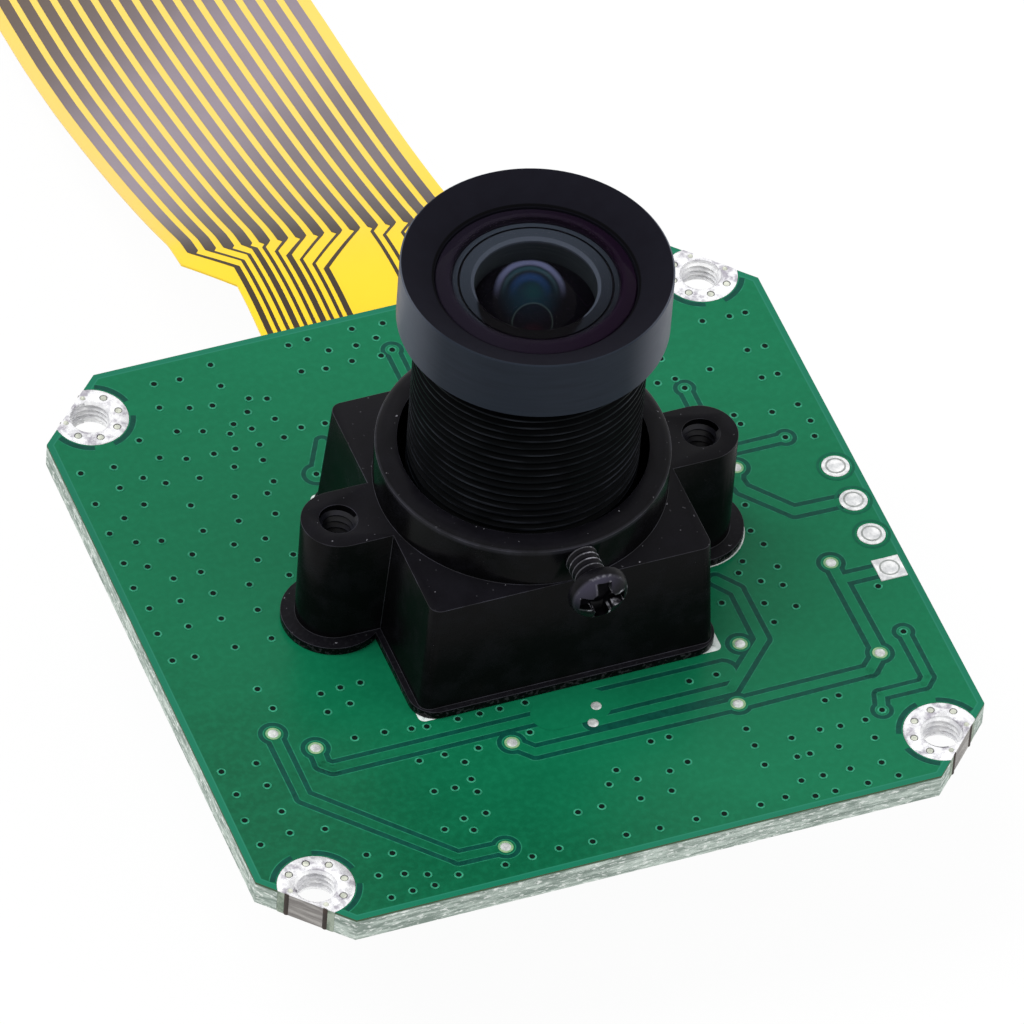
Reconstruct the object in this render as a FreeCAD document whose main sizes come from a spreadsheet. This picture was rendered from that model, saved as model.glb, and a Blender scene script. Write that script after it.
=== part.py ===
import FreeCAD, Part
import math
import os
import Sketcher
from types import SimpleNamespace
from FreeCAD import Placement, Rotation, Vector

# Camera module: a square circuit board with cut corners, a moulded lens holder with a screw-in lens,
# and a flat flexible cable that leaves a connector on the back of the board.
# Millimetres. Z = 0 is the board's front face, +Z runs along the lens axis towards the subject, and
# +Y is the edge that the cable leaves by.

SIZES = {
    # Board
    "board_side": 40.0,
    "board_thickness": 1.5,
    "board_chamfer": 4.0,
    "mount_inset": 2.85,
    "mount_hole": 2.2,
    "mount_ring": 4.0,
    "plating": 0.05,
    "seat_gap": 0.01,
    # Row of filled holes along the right edge
    "header_edge": 1.15,
    "header_back": 1.95,
    "header_pitch": 2.54,
    "header_pad": 1.5,
    # Image sensor and infrared filter
    "sensor_length": 9.0,
    "sensor_width": 8.0,
    "sensor_height": 0.9,
    "sensor_rim": 0.8,
    "sensor_floor": 0.35,
    "die_thickness": 0.3,
    "cover_glass": 0.4,
    "filter_side": 8.0,
    "filter_thickness": 0.3,
    # Lens holder
    "holder_top": 7.4,
    "holder_side": 15.4,
    "holder_foot": 16.2,
    "holder_corner": 0.6,
    "flange_side": 16.8,
    "flange_height": 0.5,
    "flange_corner": 1.4,
    "boss_spacing": 20.0,
    "boss_diameter": 3.9,
    "boss_flange": 5.4,
    "collar_diameter": 15.3,
    "collar_top": 10.0,
    "collar_bevel": 0.4,
    "mouth_diameter": 13.0,
    "mouth_floor": 7.6,
    "sensor_room": 12.6,
    "sensor_room_height": 3.2,
    "shelf_top": 4.2,
    "window_side": 6.4,
    # Screws
    "screw_size": 2.0,
    "screw_length": 6.0,
    "screw_head": 3.8,
    "screw_head_height": 1.4,
    "lock_size": 1.7,
    "lock_length": 3.2,
    "lock_head": 3.2,
    "lock_head_height": 1.25,
    "lock_height": 8.85,
    "lock_offset": 0.35,
    "thread_gap": 0.02,
    "recess_width": 0.42,
    "recess_depth": 0.75,
    # Lens barrel
    "lens_thread": 12.0,
    "running_gap": 0.05,
    "lens_back": 5.4,
    "lens_front": 22.9,
    "head_diameter": 14.0,
    "head_length": 3.8,
    "neck_diameter": 11.2,
    "neck_length": 1.0,
    "edge_break": 0.12,
    "cone_diameter": 10.4,
    "cone_depth": 1.0,
    "front_seat_depth": 1.0,
    "lens_bore": 8.6,
    "lip_opening": 6.6,
    "lip_height": 1.0,
    # Lens stack
    "glass_gap": 0.05,
    "front_bulge": 0.25,
    "ring_height": 2.3,
    "ring_opening": 6.3,
    "dome_clearance": 0.04,
    "second_edge": 2.0,
    "stop_thickness": 0.2,
    "stop_opening": 2.8,
    "third_edge": 2.2,
    "fourth_edge": 1.4,
    "rear_spacer_length": 1.45,
    "glass_bulge": 0.45,
    "spacer_opening": 6.8,
    # Cable connector on the back
    "socket_width": 14.6,
    "socket_depth": 4.2,
    "socket_height": 2.0,
    "socket_inset": 9.6,
    "socket_wall": 0.5,
    "contact_pitch": 0.5,
    "contact_width": 0.2,
    "contact_sheet": 0.16,
    "latch_thickness": 1.0,
    "latch_tongue": 2.6,
    "latch_gap": 0.04,
    # Flat cable
    "film_thickness": 0.12,
    "film_depth": 0.95,
    "neck_width": 11.5,
    "cable_width": 16.0,
    "flare_start": 5.8,
    "flare_length": 2.5,
    "near_stiffener_length": 4.5,
    "far_stiffener_length": 6.0,
    "stiffener_thickness": 0.2,
    "finger_thickness": 0.03,
    "near_finger_length": 2.6,
    "near_finger_width": 0.3,
    "far_finger_length": 4.0,
    "far_finger_width": 0.7,
    "far_pitch": 1.0,
    # Small parts on the back
    "regulator_side": 2.0,
    "regulator_height": 0.75,
    "oscillator_length": 2.5,
    "oscillator_width": 2.0,
    "oscillator_height": 0.7,
    "capacitor_length": 1.6,
    "capacitor_width": 0.8,
    "capacitor_end": 0.3,
    "resistor_length": 1.0,
    "resistor_width": 0.5,
    "resistor_height": 0.35,
    "resistor_end": 0.22,
    "inductor_side": 2.0,
    "inductor_height": 1.0,
}

CONTACT_COUNT = 22
FAR_CONTACT_COUNT = 15
HEADER_COUNT = 4

# Share of the shorter run that each arc of the cable's route takes up.
ARC_REACH = 0.45

# The cable's middle line, as (distance beyond the board's +Y edge, height): out of the connector, over a
# bend behind the board, and down to the surface that the free end lies on.
CABLE_ROUTE = [
    (-8.55, -2.45),
    (-0.8, -2.45),
    (7.0, -2.2),
    (15.0, -5.45),
    (25.0, -8.45),
    (35.5, -10.95),
    (48.0, -12.75),
    (62.0, -13.04),
    (80.0, -12.6),
    (102.0, -12.95),
    (121.0, -12.84),
    (140.0, -12.84),
]

# Places of the small parts on the back face, (x, y).
# The left cluster keeps its distance from the board's -X edge, the first number of each pair.
REGULATORS = [(6.6, -4.6), (6.6, -8.6), (6.6, -12.6)]
OSCILLATOR = (12.4, -7.0)
LEFT_CAPACITORS = [(9.2, -4.6), (9.2, -8.6), (9.2, -12.6), (4.0, -4.6), (4.0, -8.6), (4.0, -12.6)]
INDUCTORS = [(12.4, -4.8), (12.4, -9.0)]
CAPACITORS = [
    (-11.0, 13.0),
    (11.0, 13.0),
    (12.4, -9.6),
    (0.0, -12.4),
    (4.6, -12.4),
]
RESISTORS = [
    (12.4, -4.4),
    (-4.4, -12.4),
    (-6.4, -12.4),
    (8.0, -12.4),
]
SOCKET_RESISTORS = [-3.0, -1.0, 1.0, 3.0]

doc = FreeCAD.newDocument("camera_module")
sheet = doc.addObject("Spreadsheet::Sheet", "Sizes")
for row, (alias, value) in enumerate(SIZES.items(), start=1):
    sheet.set(f"A{row}", alias.replace("_", " "))
    sheet.set(f"B{row}", str(value))
    sheet.setAlias(f"B{row}", alias)
doc.recompute()


class Dim:
    """A size that carries both its number and the sheet formula that gives it."""

    def __init__(self, value, text):
        self.value = value
        self.text = text

    def __add__(self, other):
        other = dim(other)
        return Dim(self.value + other.value, f"({self.text} + {other.text})")

    def __radd__(self, other):
        return dim(other) + self

    def __sub__(self, other):
        other = dim(other)
        return Dim(self.value - other.value, f"({self.text} - {other.text})")

    def __rsub__(self, other):
        return dim(other) - self

    def __mul__(self, other):
        other = dim(other)
        return Dim(self.value * other.value, f"({self.text} * {other.text})")

    def __rmul__(self, other):
        return dim(other) * self

    def __truediv__(self, other):
        other = dim(other)
        return Dim(self.value / other.value, f"({self.text} / {other.text})")

    def __neg__(self):
        return Dim(-self.value, f"(0 - {self.text})")


def dim(thing):
    """A plain number as a Dim; a Dim as it is."""
    if isinstance(thing, Dim):
        return thing
    return Dim(float(thing), f"({float(thing):.6f})")


size = SimpleNamespace(**{alias: Dim(value, f"Sizes.{alias}") for alias, value in SIZES.items()})
parts = []


def bind(thing, prop, value):
    thing.setExpression(prop, dim(value).text)


def place(thing, x=0, y=0, z=0, rotation=None):
    """Puts a thing at x, y, z, which stay tied to the sheet."""
    if rotation is not None:
        thing.Placement = Placement(Vector(), rotation)
    for axis, value in zip("xyz", (x, y, z)):
        bind(thing, f"Placement.Base.{axis}", value)
    return thing


def keep(thing, label):
    """Names a finished sub-part, which then gets a STEP file of its own."""
    thing.Label = label
    parts.append(thing)
    return thing


def block(x0, x1, y0, y1, z0, z1):
    """A box from its six faces."""
    box = doc.addObject("Part::Box", "Block")
    for prop, low, high in (("Length", x0, x1), ("Width", y0, y1), ("Height", z0, z1)):
        bind(box, prop, dim(high) - low)
    return place(box, x0, y0, z0)


def centred_block(x, y, length, width, z0, z1):
    x, y = dim(x), dim(y)
    return block(x - length / 2, x + length / 2, y - width / 2, y + width / 2, z0, z1)


def rod(radius, z0, z1, x=0, y=0):
    cylinder = doc.addObject("Part::Cylinder", "Rod")
    bind(cylinder, "Radius", radius)
    bind(cylinder, "Height", dim(z1) - z0)
    return place(cylinder, x, y, z0)


def group(members):
    compound = doc.addObject("Part::Compound", "Group")
    compound.Links = members
    return compound


def fuse(members):
    joined = doc.addObject("Part::MultiFuse", "Fuse")
    joined.Shapes = members
    return joined


def cut(base, tool):
    result = doc.addObject("Part::Cut", "Cut")
    result.Base = base
    result.Tool = tool
    return result


def common(base, tool):
    result = doc.addObject("Part::Common", "Common")
    result.Base = base
    result.Tool = tool
    return result


def new_body():
    return doc.addObject("PartDesign::Body", "Body")


def sketch_on(body, role, height=0):
    """A sketch on one of the body's own origin planes, lifted by height along the plane's normal."""
    sketch = body.newObject("Sketcher::SketchObject", "Sketch")
    plane = next(feature for feature in body.Origin.OriginFeatures if feature.Role == role)
    sketch.AttachmentSupport = (plane, [""])
    sketch.MapMode = "FlatFace"
    bind(sketch, "AttachmentOffset.Base.z", height)
    return sketch


def edge_between(start, end):
    """Geometry from one corner to the next and which of its ends comes first.

    A corner is (x, y), or (x, y, radius, side) where the edge that leaves it is an arc: side is 1
    where the arc bulges to the left of the way from start to end and -1 where it bulges right.
    """
    a = Vector(start[0].value, start[1].value, 0)
    b = Vector(end[0].value, end[1].value, 0)
    if len(start) == 2:
        return Part.LineSegment(a, b), 1, 2
    radius = start[2].value
    chord = b - a
    reach = math.sqrt(max(radius**2 - (chord.Length / 2) ** 2, 0.0))
    right = Vector(chord.y, -chord.x, 0).normalize()
    centre = (a + b) * 0.5 + right * reach * start[3]
    first, last = (b, a) if start[3] > 0 else (a, b)
    begin = math.atan2(first.y - centre.y, first.x - centre.x)
    finish = math.atan2(last.y - centre.y, last.x - centre.x)
    if finish < begin:
        finish += 2 * math.pi
    arc = Part.ArcOfCircle(Part.Circle(centre, Vector(0, 0, 1), radius), begin, finish)
    return (arc, 2, 1) if start[3] > 0 else (arc, 1, 2)


def outline(sketch, corners):
    """A closed outline whose corners and arc radii are all tied to the sheet."""
    corners = [tuple(dim(v) if i < 3 else v for i, v in enumerate(corner)) for corner in corners]
    count = len(corners)
    ends = []
    for index, corner in enumerate(corners):
        edge, first, last = edge_between(corner, corners[(index + 1) % count])
        sketch.addGeometry(edge, False)
        ends.append((first, last))
    rules = []
    formulas = []
    for index, corner in enumerate(corners):
        after = (index + 1) % count
        first, last = ends[index]
        rules.append(Sketcher.Constraint("Coincident", index, last, after, ends[after][0]))
        formulas.append(None)
        for kind, value in (("DistanceX", corner[0]), ("DistanceY", corner[1])):
            rules.append(Sketcher.Constraint(kind, -1, 1, index, first, value.value))
            formulas.append(value.text)
        if len(corner) > 2:
            rules.append(Sketcher.Constraint("Radius", index, corner[2].value))
            formulas.append(corner[2].text)
    tie(sketch, rules, formulas)


def circles(sketch, centres, radius):
    """Equal circles at the given centres."""
    rules = []
    formulas = []
    for index, centre in enumerate(centres):
        x, y = dim(centre[0]), dim(centre[1])
        ring = Part.Circle(Vector(x.value, y.value, 0), Vector(0, 0, 1), dim(radius).value)
        sketch.addGeometry(ring, False)
        rules.append(Sketcher.Constraint("DistanceX", -1, 1, index, 3, x.value))
        rules.append(Sketcher.Constraint("DistanceY", -1, 1, index, 3, y.value))
        rules.append(Sketcher.Constraint("Radius", index, dim(radius).value))
        formulas += [x.text, y.text, dim(radius).text]
    tie(sketch, rules, formulas)


def tie(sketch, rules, formulas):
    sketch.addConstraint(rules)
    for index, text in enumerate(formulas):
        if text is not None:
            sketch.setExpression(f"Constraints[{index}]", text)


def rectangle(sketch, length, width):
    x, y = length / 2, width / 2
    outline(sketch, [(-x, -y), (x, -y), (x, y), (-x, y)])


def rounded_square(sketch, side, radius):
    h = side / 2
    i = h - radius
    outline(
        sketch,
        [
            (-i, -h),
            (i, -h, radius, -1),
            (h, -i),
            (h, i, radius, -1),
            (i, h),
            (-i, h, radius, -1),
            (-h, i),
            (-h, -i, radius, -1),
        ],
    )


def pad(body, sketch, length):
    feature = body.newObject("PartDesign::Pad", "Pad")
    feature.Profile = sketch
    bind(feature, "Length", length)
    return feature


def pocket(body, sketch, depth, reversed_way):
    """Cuts against the sketch's normal, or along it where reversed_way is true."""
    before = doc_volume(body)
    feature = body.newObject("PartDesign::Pocket", "Pocket")
    feature.Profile = sketch
    feature.Reversed = reversed_way
    bind(feature, "Length", depth)
    check_cut(body, before)
    return feature


def revolve(body, sketch, kind="PartDesign::Revolution"):
    feature = body.newObject(kind, "Turn")
    feature.Profile = sketch
    feature.ReferenceAxis = (sketch, ["V_Axis"])
    feature.Angle = 360
    return feature


def doc_volume(body):
    doc.recompute()
    return body.Shape.Volume


def check_cut(body, before):
    if doc_volume(body) >= before - 1e-6:
        raise RuntimeError(f"a cut in {body.Name} removed nothing")


def turned(corners):
    """A body turned about Z from corners given as (radius, height)."""
    body = new_body()
    sketch = sketch_on(body, "XZ_Plane")
    outline(sketch, corners)
    revolve(body, sketch)
    return body


def shallow_dome(rim, base, rise, shares):
    """Corners of a turned glass face from its rim to its middle, in a few straight steps."""
    steps = [(rim * share, base + rise * (1 - share * share)) for share in shares]
    return steps + [(0, base + rise)]


def board_outline(sketch):
    """The square with its four corners cut."""
    h = size.board_side / 2
    c = h - size.board_chamfer
    outline(sketch, [(-c, -h), (c, -h), (h, -c), (h, c), (c, h), (-c, h), (-h, c), (-h, -c)])


def corner_places():
    half = size.board_side / 2 - size.mount_inset
    return [(sx * half, sy * half, sx, sy) for sx in (-1, 1) for sy in (-1, 1)]


def header_places():
    x = size.board_side / 2 - size.header_edge
    return [(x, size.header_back - i * size.header_pitch) for i in range(HEADER_COUNT)]


def boss_places():
    return [(-size.boss_spacing / 2, 0), (size.boss_spacing / 2, 0)]


def board():
    """Laminate with the corner, screw and header holes."""
    body = new_body()
    sketch = sketch_on(body, "XY_Plane", -size.board_thickness)
    board_outline(sketch)
    pad(body, sketch, size.board_thickness)
    drills = [
        ([place_[:2] for place_ in corner_places()], size.mount_ring / 2 + size.seat_gap),
        (boss_places(), size.screw_size / 2 + size.plating),
        (header_places()[:-1], size.header_pad / 2 + size.seat_gap),
    ]
    for centres, radius in drills:
        holes = sketch_on(body, "XY_Plane")
        circles(holes, centres, radius)
        pocket(body, holes, size.board_thickness, False)
    square = sketch_on(body, "XY_Plane")
    x, y = header_places()[-1]
    half = size.header_pad / 2 + size.seat_gap
    outline(square, [(x - half, y - half), (x + half, y - half), (x + half, y + half), (x - half, y + half)])
    pocket(body, square, size.board_thickness, False)
    keep(body, "board")


def corner_pads():
    """Plated eyelets of the four corner holes, trimmed by the board's cut corners."""
    bore = size.mount_hole / 2
    ring = size.mount_ring / 2
    top = size.plating
    bottom = -size.board_thickness - size.plating
    eyelets = []
    for x, y, _, _ in corner_places():
        eyelets.append(place(turned([(bore, bottom), (ring, bottom), (ring, top), (bore, top)]), x, y))
    trim = new_body()
    sketch = sketch_on(trim, "XY_Plane", -2 * size.board_thickness)
    board_outline(sketch)
    pad(trim, sketch, 3 * size.board_thickness)
    keep(common(group(eyelets), trim), "corner_pads")


def header_pads():
    """Holes filled with solder, flush with their pads on both faces; one pad is square."""
    pads = []
    low = -size.board_thickness - size.plating
    for index, (x, y) in enumerate(header_places()):
        if index == HEADER_COUNT - 1:
            pads.append(centred_block(x, y, size.header_pad, size.header_pad, low, size.plating))
        else:
            pads.append(rod(size.header_pad / 2, low, size.plating, x, y))
    keep(group(pads), "header_pads")


def sensor():
    """Ceramic package with a rim, the silicon die in it and the cover glass on top."""
    length, width, high = size.sensor_length, size.sensor_width, size.sensor_height
    shell = centred_block(0, 0, length, width, 0, high)
    inner_length = length - 2 * size.sensor_rim
    inner_width = width - 2 * size.sensor_rim
    well = centred_block(0, 0, inner_length, inner_width, size.sensor_floor, high + size.cover_glass)
    keep(cut(shell, well), "sensor_package")
    die = centred_block(
        0,
        0,
        inner_length - size.sensor_rim,
        inner_width - size.sensor_rim,
        size.sensor_floor,
        size.sensor_floor + size.die_thickness,
    )
    keep(die, "sensor_die")
    glass = centred_block(
        0, 0, length - size.sensor_rim, width - size.sensor_rim, high, high + size.cover_glass
    )
    keep(glass, "sensor_cover_glass")


def lens_holder():
    """Moulded housing: drafted box, foot flange, two screw bosses and the threaded collar."""
    body = new_body()
    foot = sketch_on(body, "XY_Plane")
    rounded_square(foot, size.holder_foot, size.holder_corner)
    top = sketch_on(body, "XY_Plane", size.holder_top)
    rounded_square(top, size.holder_side, size.holder_corner)
    box = body.newObject("PartDesign::AdditiveLoft", "Box")
    box.Profile = foot
    box.Sections = [top]
    box.Ruled = True
    flange = sketch_on(body, "XY_Plane")
    rounded_square(flange, size.flange_side, size.flange_corner)
    pad(body, flange, size.flange_height)
    for diameter, height in (
        (size.boss_flange, size.flange_height),
        (size.boss_diameter, size.holder_top),
    ):
        sketch = sketch_on(body, "XY_Plane")
        circles(sketch, boss_places(), diameter / 2)
        pad(body, sketch, height)
    web = sketch_on(body, "XY_Plane")
    rectangle(web, size.boss_spacing, size.boss_diameter)
    pad(body, web, size.holder_top)

    collar = sketch_on(body, "XZ_Plane")
    radius = size.collar_diameter / 2
    outline(
        collar,
        [
            (0, size.holder_top),
            (radius, size.holder_top),
            (radius, size.collar_top - size.collar_bevel / 2),
            (radius - size.collar_bevel, size.collar_top),
            (0, size.collar_top),
        ],
    )
    revolve(body, collar)

    before = doc_volume(body)
    bore = sketch_on(body, "XZ_Plane")
    thread = size.lens_thread / 2 + size.running_gap
    mouth = size.mouth_diameter / 2
    outline(
        bore,
        [
            (0, size.shelf_top),
            (thread, size.shelf_top),
            (thread, size.mouth_floor - (mouth - thread)),
            (mouth, size.mouth_floor),
            (mouth, 2 * size.collar_top),
            (0, 2 * size.collar_top),
        ],
    )
    revolve(body, bore, "PartDesign::Groove")
    check_cut(body, before)

    seat = size.filter_side + 2 * size.seat_gap
    steps = (
        (size.sensor_room, 0, size.sensor_room_height),
        (seat, size.sensor_room_height, size.filter_thickness + size.seat_gap),
        (size.window_side, size.sensor_room_height, size.shelf_top - size.sensor_room_height),
    )
    for side, start, depth in steps:
        sketch = sketch_on(body, "XY_Plane", start)
        rectangle(sketch, side, side)
        pocket(body, sketch, depth, True)

    screws = sketch_on(body, "XY_Plane")
    circles(screws, boss_places(), size.screw_size / 2)
    pocket(body, screws, size.holder_top, True)
    lock = sketch_on(body, "XZ_Plane")
    circles(lock, [(size.lock_offset, size.lock_height)], size.lock_size / 2 + size.thread_gap)
    pocket(body, lock, size.collar_diameter, True)
    keep(body, "lens_holder")


def ir_filter():
    """Thin coloured glass glued under the shelf."""
    low = size.sensor_room_height + size.seat_gap
    keep(
        centred_block(0, 0, size.filter_side, size.filter_side, low, low + size.filter_thickness),
        "ir_filter",
    )


def pan_screw(shank, length, head, head_height):
    """Pan-head screw along Z: tip at -length, head seat at 0, cross recess in the head."""
    half = head / 2
    dome = head_height * 0.35
    body = turned(
        [
            (0, -length),
            (shank, -length),
            (shank, 0),
            (half, 0),
            (half, head_height - dome),
            (half * 0.7, head_height),
            (0, head_height),
        ]
    )
    for across, along in ((size.recess_width, head * 0.56), (head * 0.56, size.recess_width)):
        sketch = sketch_on(body, "XY_Plane", head_height)
        rectangle(sketch, across, along)
        pocket(body, sketch, size.recess_depth, False)
    return body


def screws():
    """Two screws hold the lens holder from the back; one locks the lens through the collar."""
    pair = []
    for x, y in boss_places():
        screw = pan_screw(
            size.screw_size / 2 - size.thread_gap,
            size.screw_length,
            size.screw_head,
            size.screw_head_height,
        )
        flip = Rotation(Vector(1, 0, 0), 180)
        pair.append(place(screw, x, y, -size.board_thickness, flip))
    keep(group(pair), "holder_screws")
    lock = pan_screw(size.lock_size / 2, size.lock_length, size.lock_head, size.lock_head_height)
    tip = size.lens_thread / 2 + size.running_gap
    place(lock, size.lock_offset, -(tip + size.lock_length), size.lock_height, Rotation(Vector(1, 0, 0), 90))
    keep(lock, "lock_screw")


def stack_levels():
    """Heights of the faces between the pieces in the barrel, from the back lip to the front."""
    levels = SimpleNamespace()
    levels.front_edge = size.lens_front - size.cone_depth
    levels.seat_floor = levels.front_edge - size.front_seat_depth
    levels.lip_top = size.lens_back + size.lip_height
    levels.fourth = levels.lip_top + size.seat_gap
    levels.rear_spacer = levels.fourth + size.fourth_edge
    levels.third = levels.rear_spacer + size.rear_spacer_length
    levels.stop = levels.third + size.third_edge + size.glass_bulge
    levels.front_spacer = levels.stop + size.stop_thickness
    levels.ring = levels.seat_floor - size.ring_height
    levels.second = levels.ring - size.seat_gap - size.second_edge
    return levels


def lens_barrel():
    """Threaded tube with a wider head, a conical front rim and an inner lip at the back."""
    levels = stack_levels()
    thread = size.lens_thread / 2
    head = size.head_diameter / 2
    neck = size.neck_diameter / 2
    cone = size.cone_diameter / 2
    bore = size.lens_bore / 2
    lip = size.lip_opening / 2
    head_back = size.lens_front - size.head_length
    thread_top = head_back - size.neck_length
    barrel = turned(
        [
            (lip, size.lens_back),
            (thread, size.lens_back),
            (thread, thread_top),
            (neck, thread_top),
            (neck, head_back),
            (head, head_back),
            (head, size.lens_front),
            (cone, levels.front_edge),
            (cone, levels.seat_floor),
            (bore, levels.seat_floor),
            (bore, levels.lip_top),
            (lip, levels.lip_top),
        ]
    )
    keep(barrel, "lens_barrel")


def front_element():
    """Front glass, gently convex outside."""
    levels = stack_levels()
    rim = size.cone_diameter / 2 - size.glass_gap
    low = levels.seat_floor + size.seat_gap
    high = levels.front_edge - size.edge_break
    top = high + size.front_bulge
    face = [(rim, high), (rim - 2 * size.front_bulge, top), (0, top)]
    keep(turned([(0, low), (rim, low)] + face), "front_element")


def retaining_ring():
    """Threaded ring that holds the glass stack down."""
    levels = stack_levels()
    rim = size.lens_bore / 2 - size.seat_gap
    opening = size.ring_opening / 2
    top = levels.seat_floor
    ring = turned(
        [
            (opening, levels.ring),
            (rim, levels.ring),
            (rim, top),
            (opening, top),
        ]
    )
    keep(ring, "retaining_ring")


def second_element():
    """Domed glass that shows through the ring's opening."""
    levels = stack_levels()
    rim = size.lens_bore / 2 - size.glass_gap
    low = levels.second
    high = low + size.second_edge
    half = size.ring_opening / 2 - size.glass_gap
    rise = levels.seat_floor - size.dome_clearance - high
    dome = [(half, high), (half, high + rise * 0.35), (half * 0.65, high + rise * 0.76), (0, high + rise)]
    keep(turned([(0, low), (rim, low), (rim, high)] + dome), "second_element")


def ring_piece(label, opening, low, high):
    rim = size.lens_bore / 2 - size.glass_gap
    keep(turned([(opening / 2, low), (rim, low), (rim, high), (opening / 2, high)]), label)


def inner_stack():
    """Spacers, stop and the two rear glasses."""
    levels = stack_levels()
    rim = size.lens_bore / 2 - size.glass_gap
    ring_piece("front_spacer", size.spacer_opening, levels.front_spacer, levels.second - size.seat_gap)
    ring_piece("aperture_stop", size.stop_opening, levels.stop, levels.front_spacer)
    ring_piece("rear_spacer", size.spacer_opening, levels.rear_spacer, levels.third)
    keep(rod(rim, levels.third, levels.stop), "third_element")
    lip = size.lip_opening / 2 - size.glass_gap
    face = shallow_dome(lip, levels.fourth, -size.glass_bulge, (1,))[::-1]
    keep(turned(face + [(rim, levels.fourth), (rim, levels.rear_spacer), (0, levels.rear_spacer)]), "fourth_element")


def under(depth):
    """Height of a level that lies this far behind the board's back face."""
    return -size.board_thickness - depth


def socket_levels():
    """Depths behind the board of the layers in the connector, from the board outwards."""
    levels = SimpleNamespace()
    levels.film_near = size.film_depth - size.film_thickness / 2
    levels.film_far = size.film_depth + size.film_thickness / 2
    levels.finger = levels.film_near - size.finger_thickness
    levels.beam_far = levels.finger - size.seat_gap
    levels.beam_near = levels.beam_far - size.contact_sheet
    levels.slot_near = levels.beam_near - size.latch_gap
    levels.stiff_far = levels.film_far + size.stiffener_thickness
    levels.tongue_near = levels.stiff_far + size.latch_gap
    levels.slot_far = size.socket_height - size.socket_wall
    levels.tongue_far = levels.slot_far - size.latch_gap
    levels.back = size.board_side / 2 - size.socket_inset
    levels.mouth = levels.back + size.socket_depth
    return levels


def contact_slabs(count, pitch, width, y0, y1, z0, z1):
    """Thin slabs across a row of contacts, one per contact."""
    slabs = []
    for index in range(count):
        x = pitch * (index - (count - 1) / 2)
        slabs.append(block(x - width / 2, x + width / 2, y0, y1, z0, z1))
    return group(slabs)


def socket():
    """Slide-lock connector: housing, bent contacts, side tabs and the sliding latch."""
    levels = socket_levels()
    half = size.socket_width / 2
    slot = size.neck_width / 2 + 2 * size.latch_gap
    arm_in = slot + 2 * size.contact_width
    arm_out = half - size.socket_wall
    wall = size.socket_wall
    back = levels.back
    row = size.contact_pitch * CONTACT_COUNT / 2
    shell = block(-half, half, back, levels.mouth, under(size.socket_height), under(0))
    slot_cut = block(-slot, slot, back + wall, 2 * levels.mouth, under(levels.slot_far), under(levels.slot_near))
    rear_cut = block(-row, row, 0, back + 2 * wall, under(levels.beam_far), size.board_thickness)
    cuts = [slot_cut, rear_cut]
    tongue_reach = levels.mouth - size.latch_tongue
    arms = []
    for side in (-1, 1):
        ends = sorted((side * arm_in, side * arm_out), key=lambda end: end.value)
        gap = size.latch_gap
        cuts.append(
            block(
                ends[0],
                ends[1],
                tongue_reach - gap,
                2 * levels.mouth,
                under(levels.tongue_near + gap),
                under(levels.slot_near),
            )
        )
        arms.append(
            block(
                ends[0] + gap,
                ends[1] - gap,
                tongue_reach,
                levels.mouth + size.latch_thickness,
                under(levels.tongue_near),
                under(levels.slot_near + gap),
            )
        )
    keep(cut(shell, group(cuts)), "socket_housing")

    tail_end = back - size.latch_thickness
    strip = fuse(
        [
            block(-row, row, tail_end, back + wall, under(size.contact_sheet), under(0)),
            block(-row, row, back + wall / 2, back + wall, under(levels.beam_far), under(0)),
            block(
                -row,
                row,
                back + wall / 2,
                levels.mouth - 2 * wall,
                under(levels.beam_far),
                under(levels.beam_near),
            ),
        ]
    )
    slabs = contact_slabs(
        CONTACT_COUNT,
        size.contact_pitch,
        size.contact_width,
        0,
        levels.mouth,
        under(size.socket_height),
        0,
    )
    keep(common(strip, slabs), "socket_contacts")

    tabs = []
    for side in (-1, 1):
        ends = sorted((side * half, side * (half + wall)), key=lambda end: end.value)
        tabs.append(block(ends[0], ends[1], back + wall, back + 4 * wall, under(2 * wall), under(0)))
    keep(group(tabs), "socket_side_tabs")

    frame = block(
        -half,
        half,
        levels.mouth + size.latch_gap,
        levels.mouth + size.latch_thickness,
        under(size.socket_height),
        under(levels.slot_near - 2 * size.latch_gap),
    )
    passage = block(
        -slot,
        slot,
        levels.mouth - wall,
        2 * levels.mouth,
        under(levels.tongue_near),
        under(levels.beam_far - size.latch_gap),
    )
    tongue = block(
        -slot + size.latch_gap,
        slot - size.latch_gap,
        tongue_reach,
        levels.mouth + size.latch_thickness,
        under(levels.tongue_far),
        under(levels.tongue_near),
    )
    keep(fuse([cut(frame, passage), tongue] + arms), "socket_latch")


def tangent_arcs(points):
    """The arc at each inner point of the route: its ends, middle, centre, radius and half turn."""
    bends = []
    for before, corner, after in zip(points, points[1:], points[2:]):
        back_way = (before - corner).normalize()
        on_way = (after - corner).normalize()
        shorter = min((before - corner).Length, (after - corner).Length)
        half_turn = (math.pi - back_way.getAngle(on_way)) / 2
        reach = ARC_REACH * shorter
        radius = reach / math.tan(half_turn)
        inwards = (back_way + on_way).normalize()
        centre = corner + inwards * (radius / math.cos(half_turn))
        bends.append(
            SimpleNamespace(
                start=corner + back_way * reach,
                middle=centre - inwards * radius,
                end=corner + on_way * reach,
                centre=centre,
                radius=radius,
                reach=reach,
                half_turn=half_turn,
            )
        )
    return bends


def left_of(way):
    """Unit vector square to a way in the YZ plane."""
    return Vector(0, -way.z, way.y).normalize()


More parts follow.
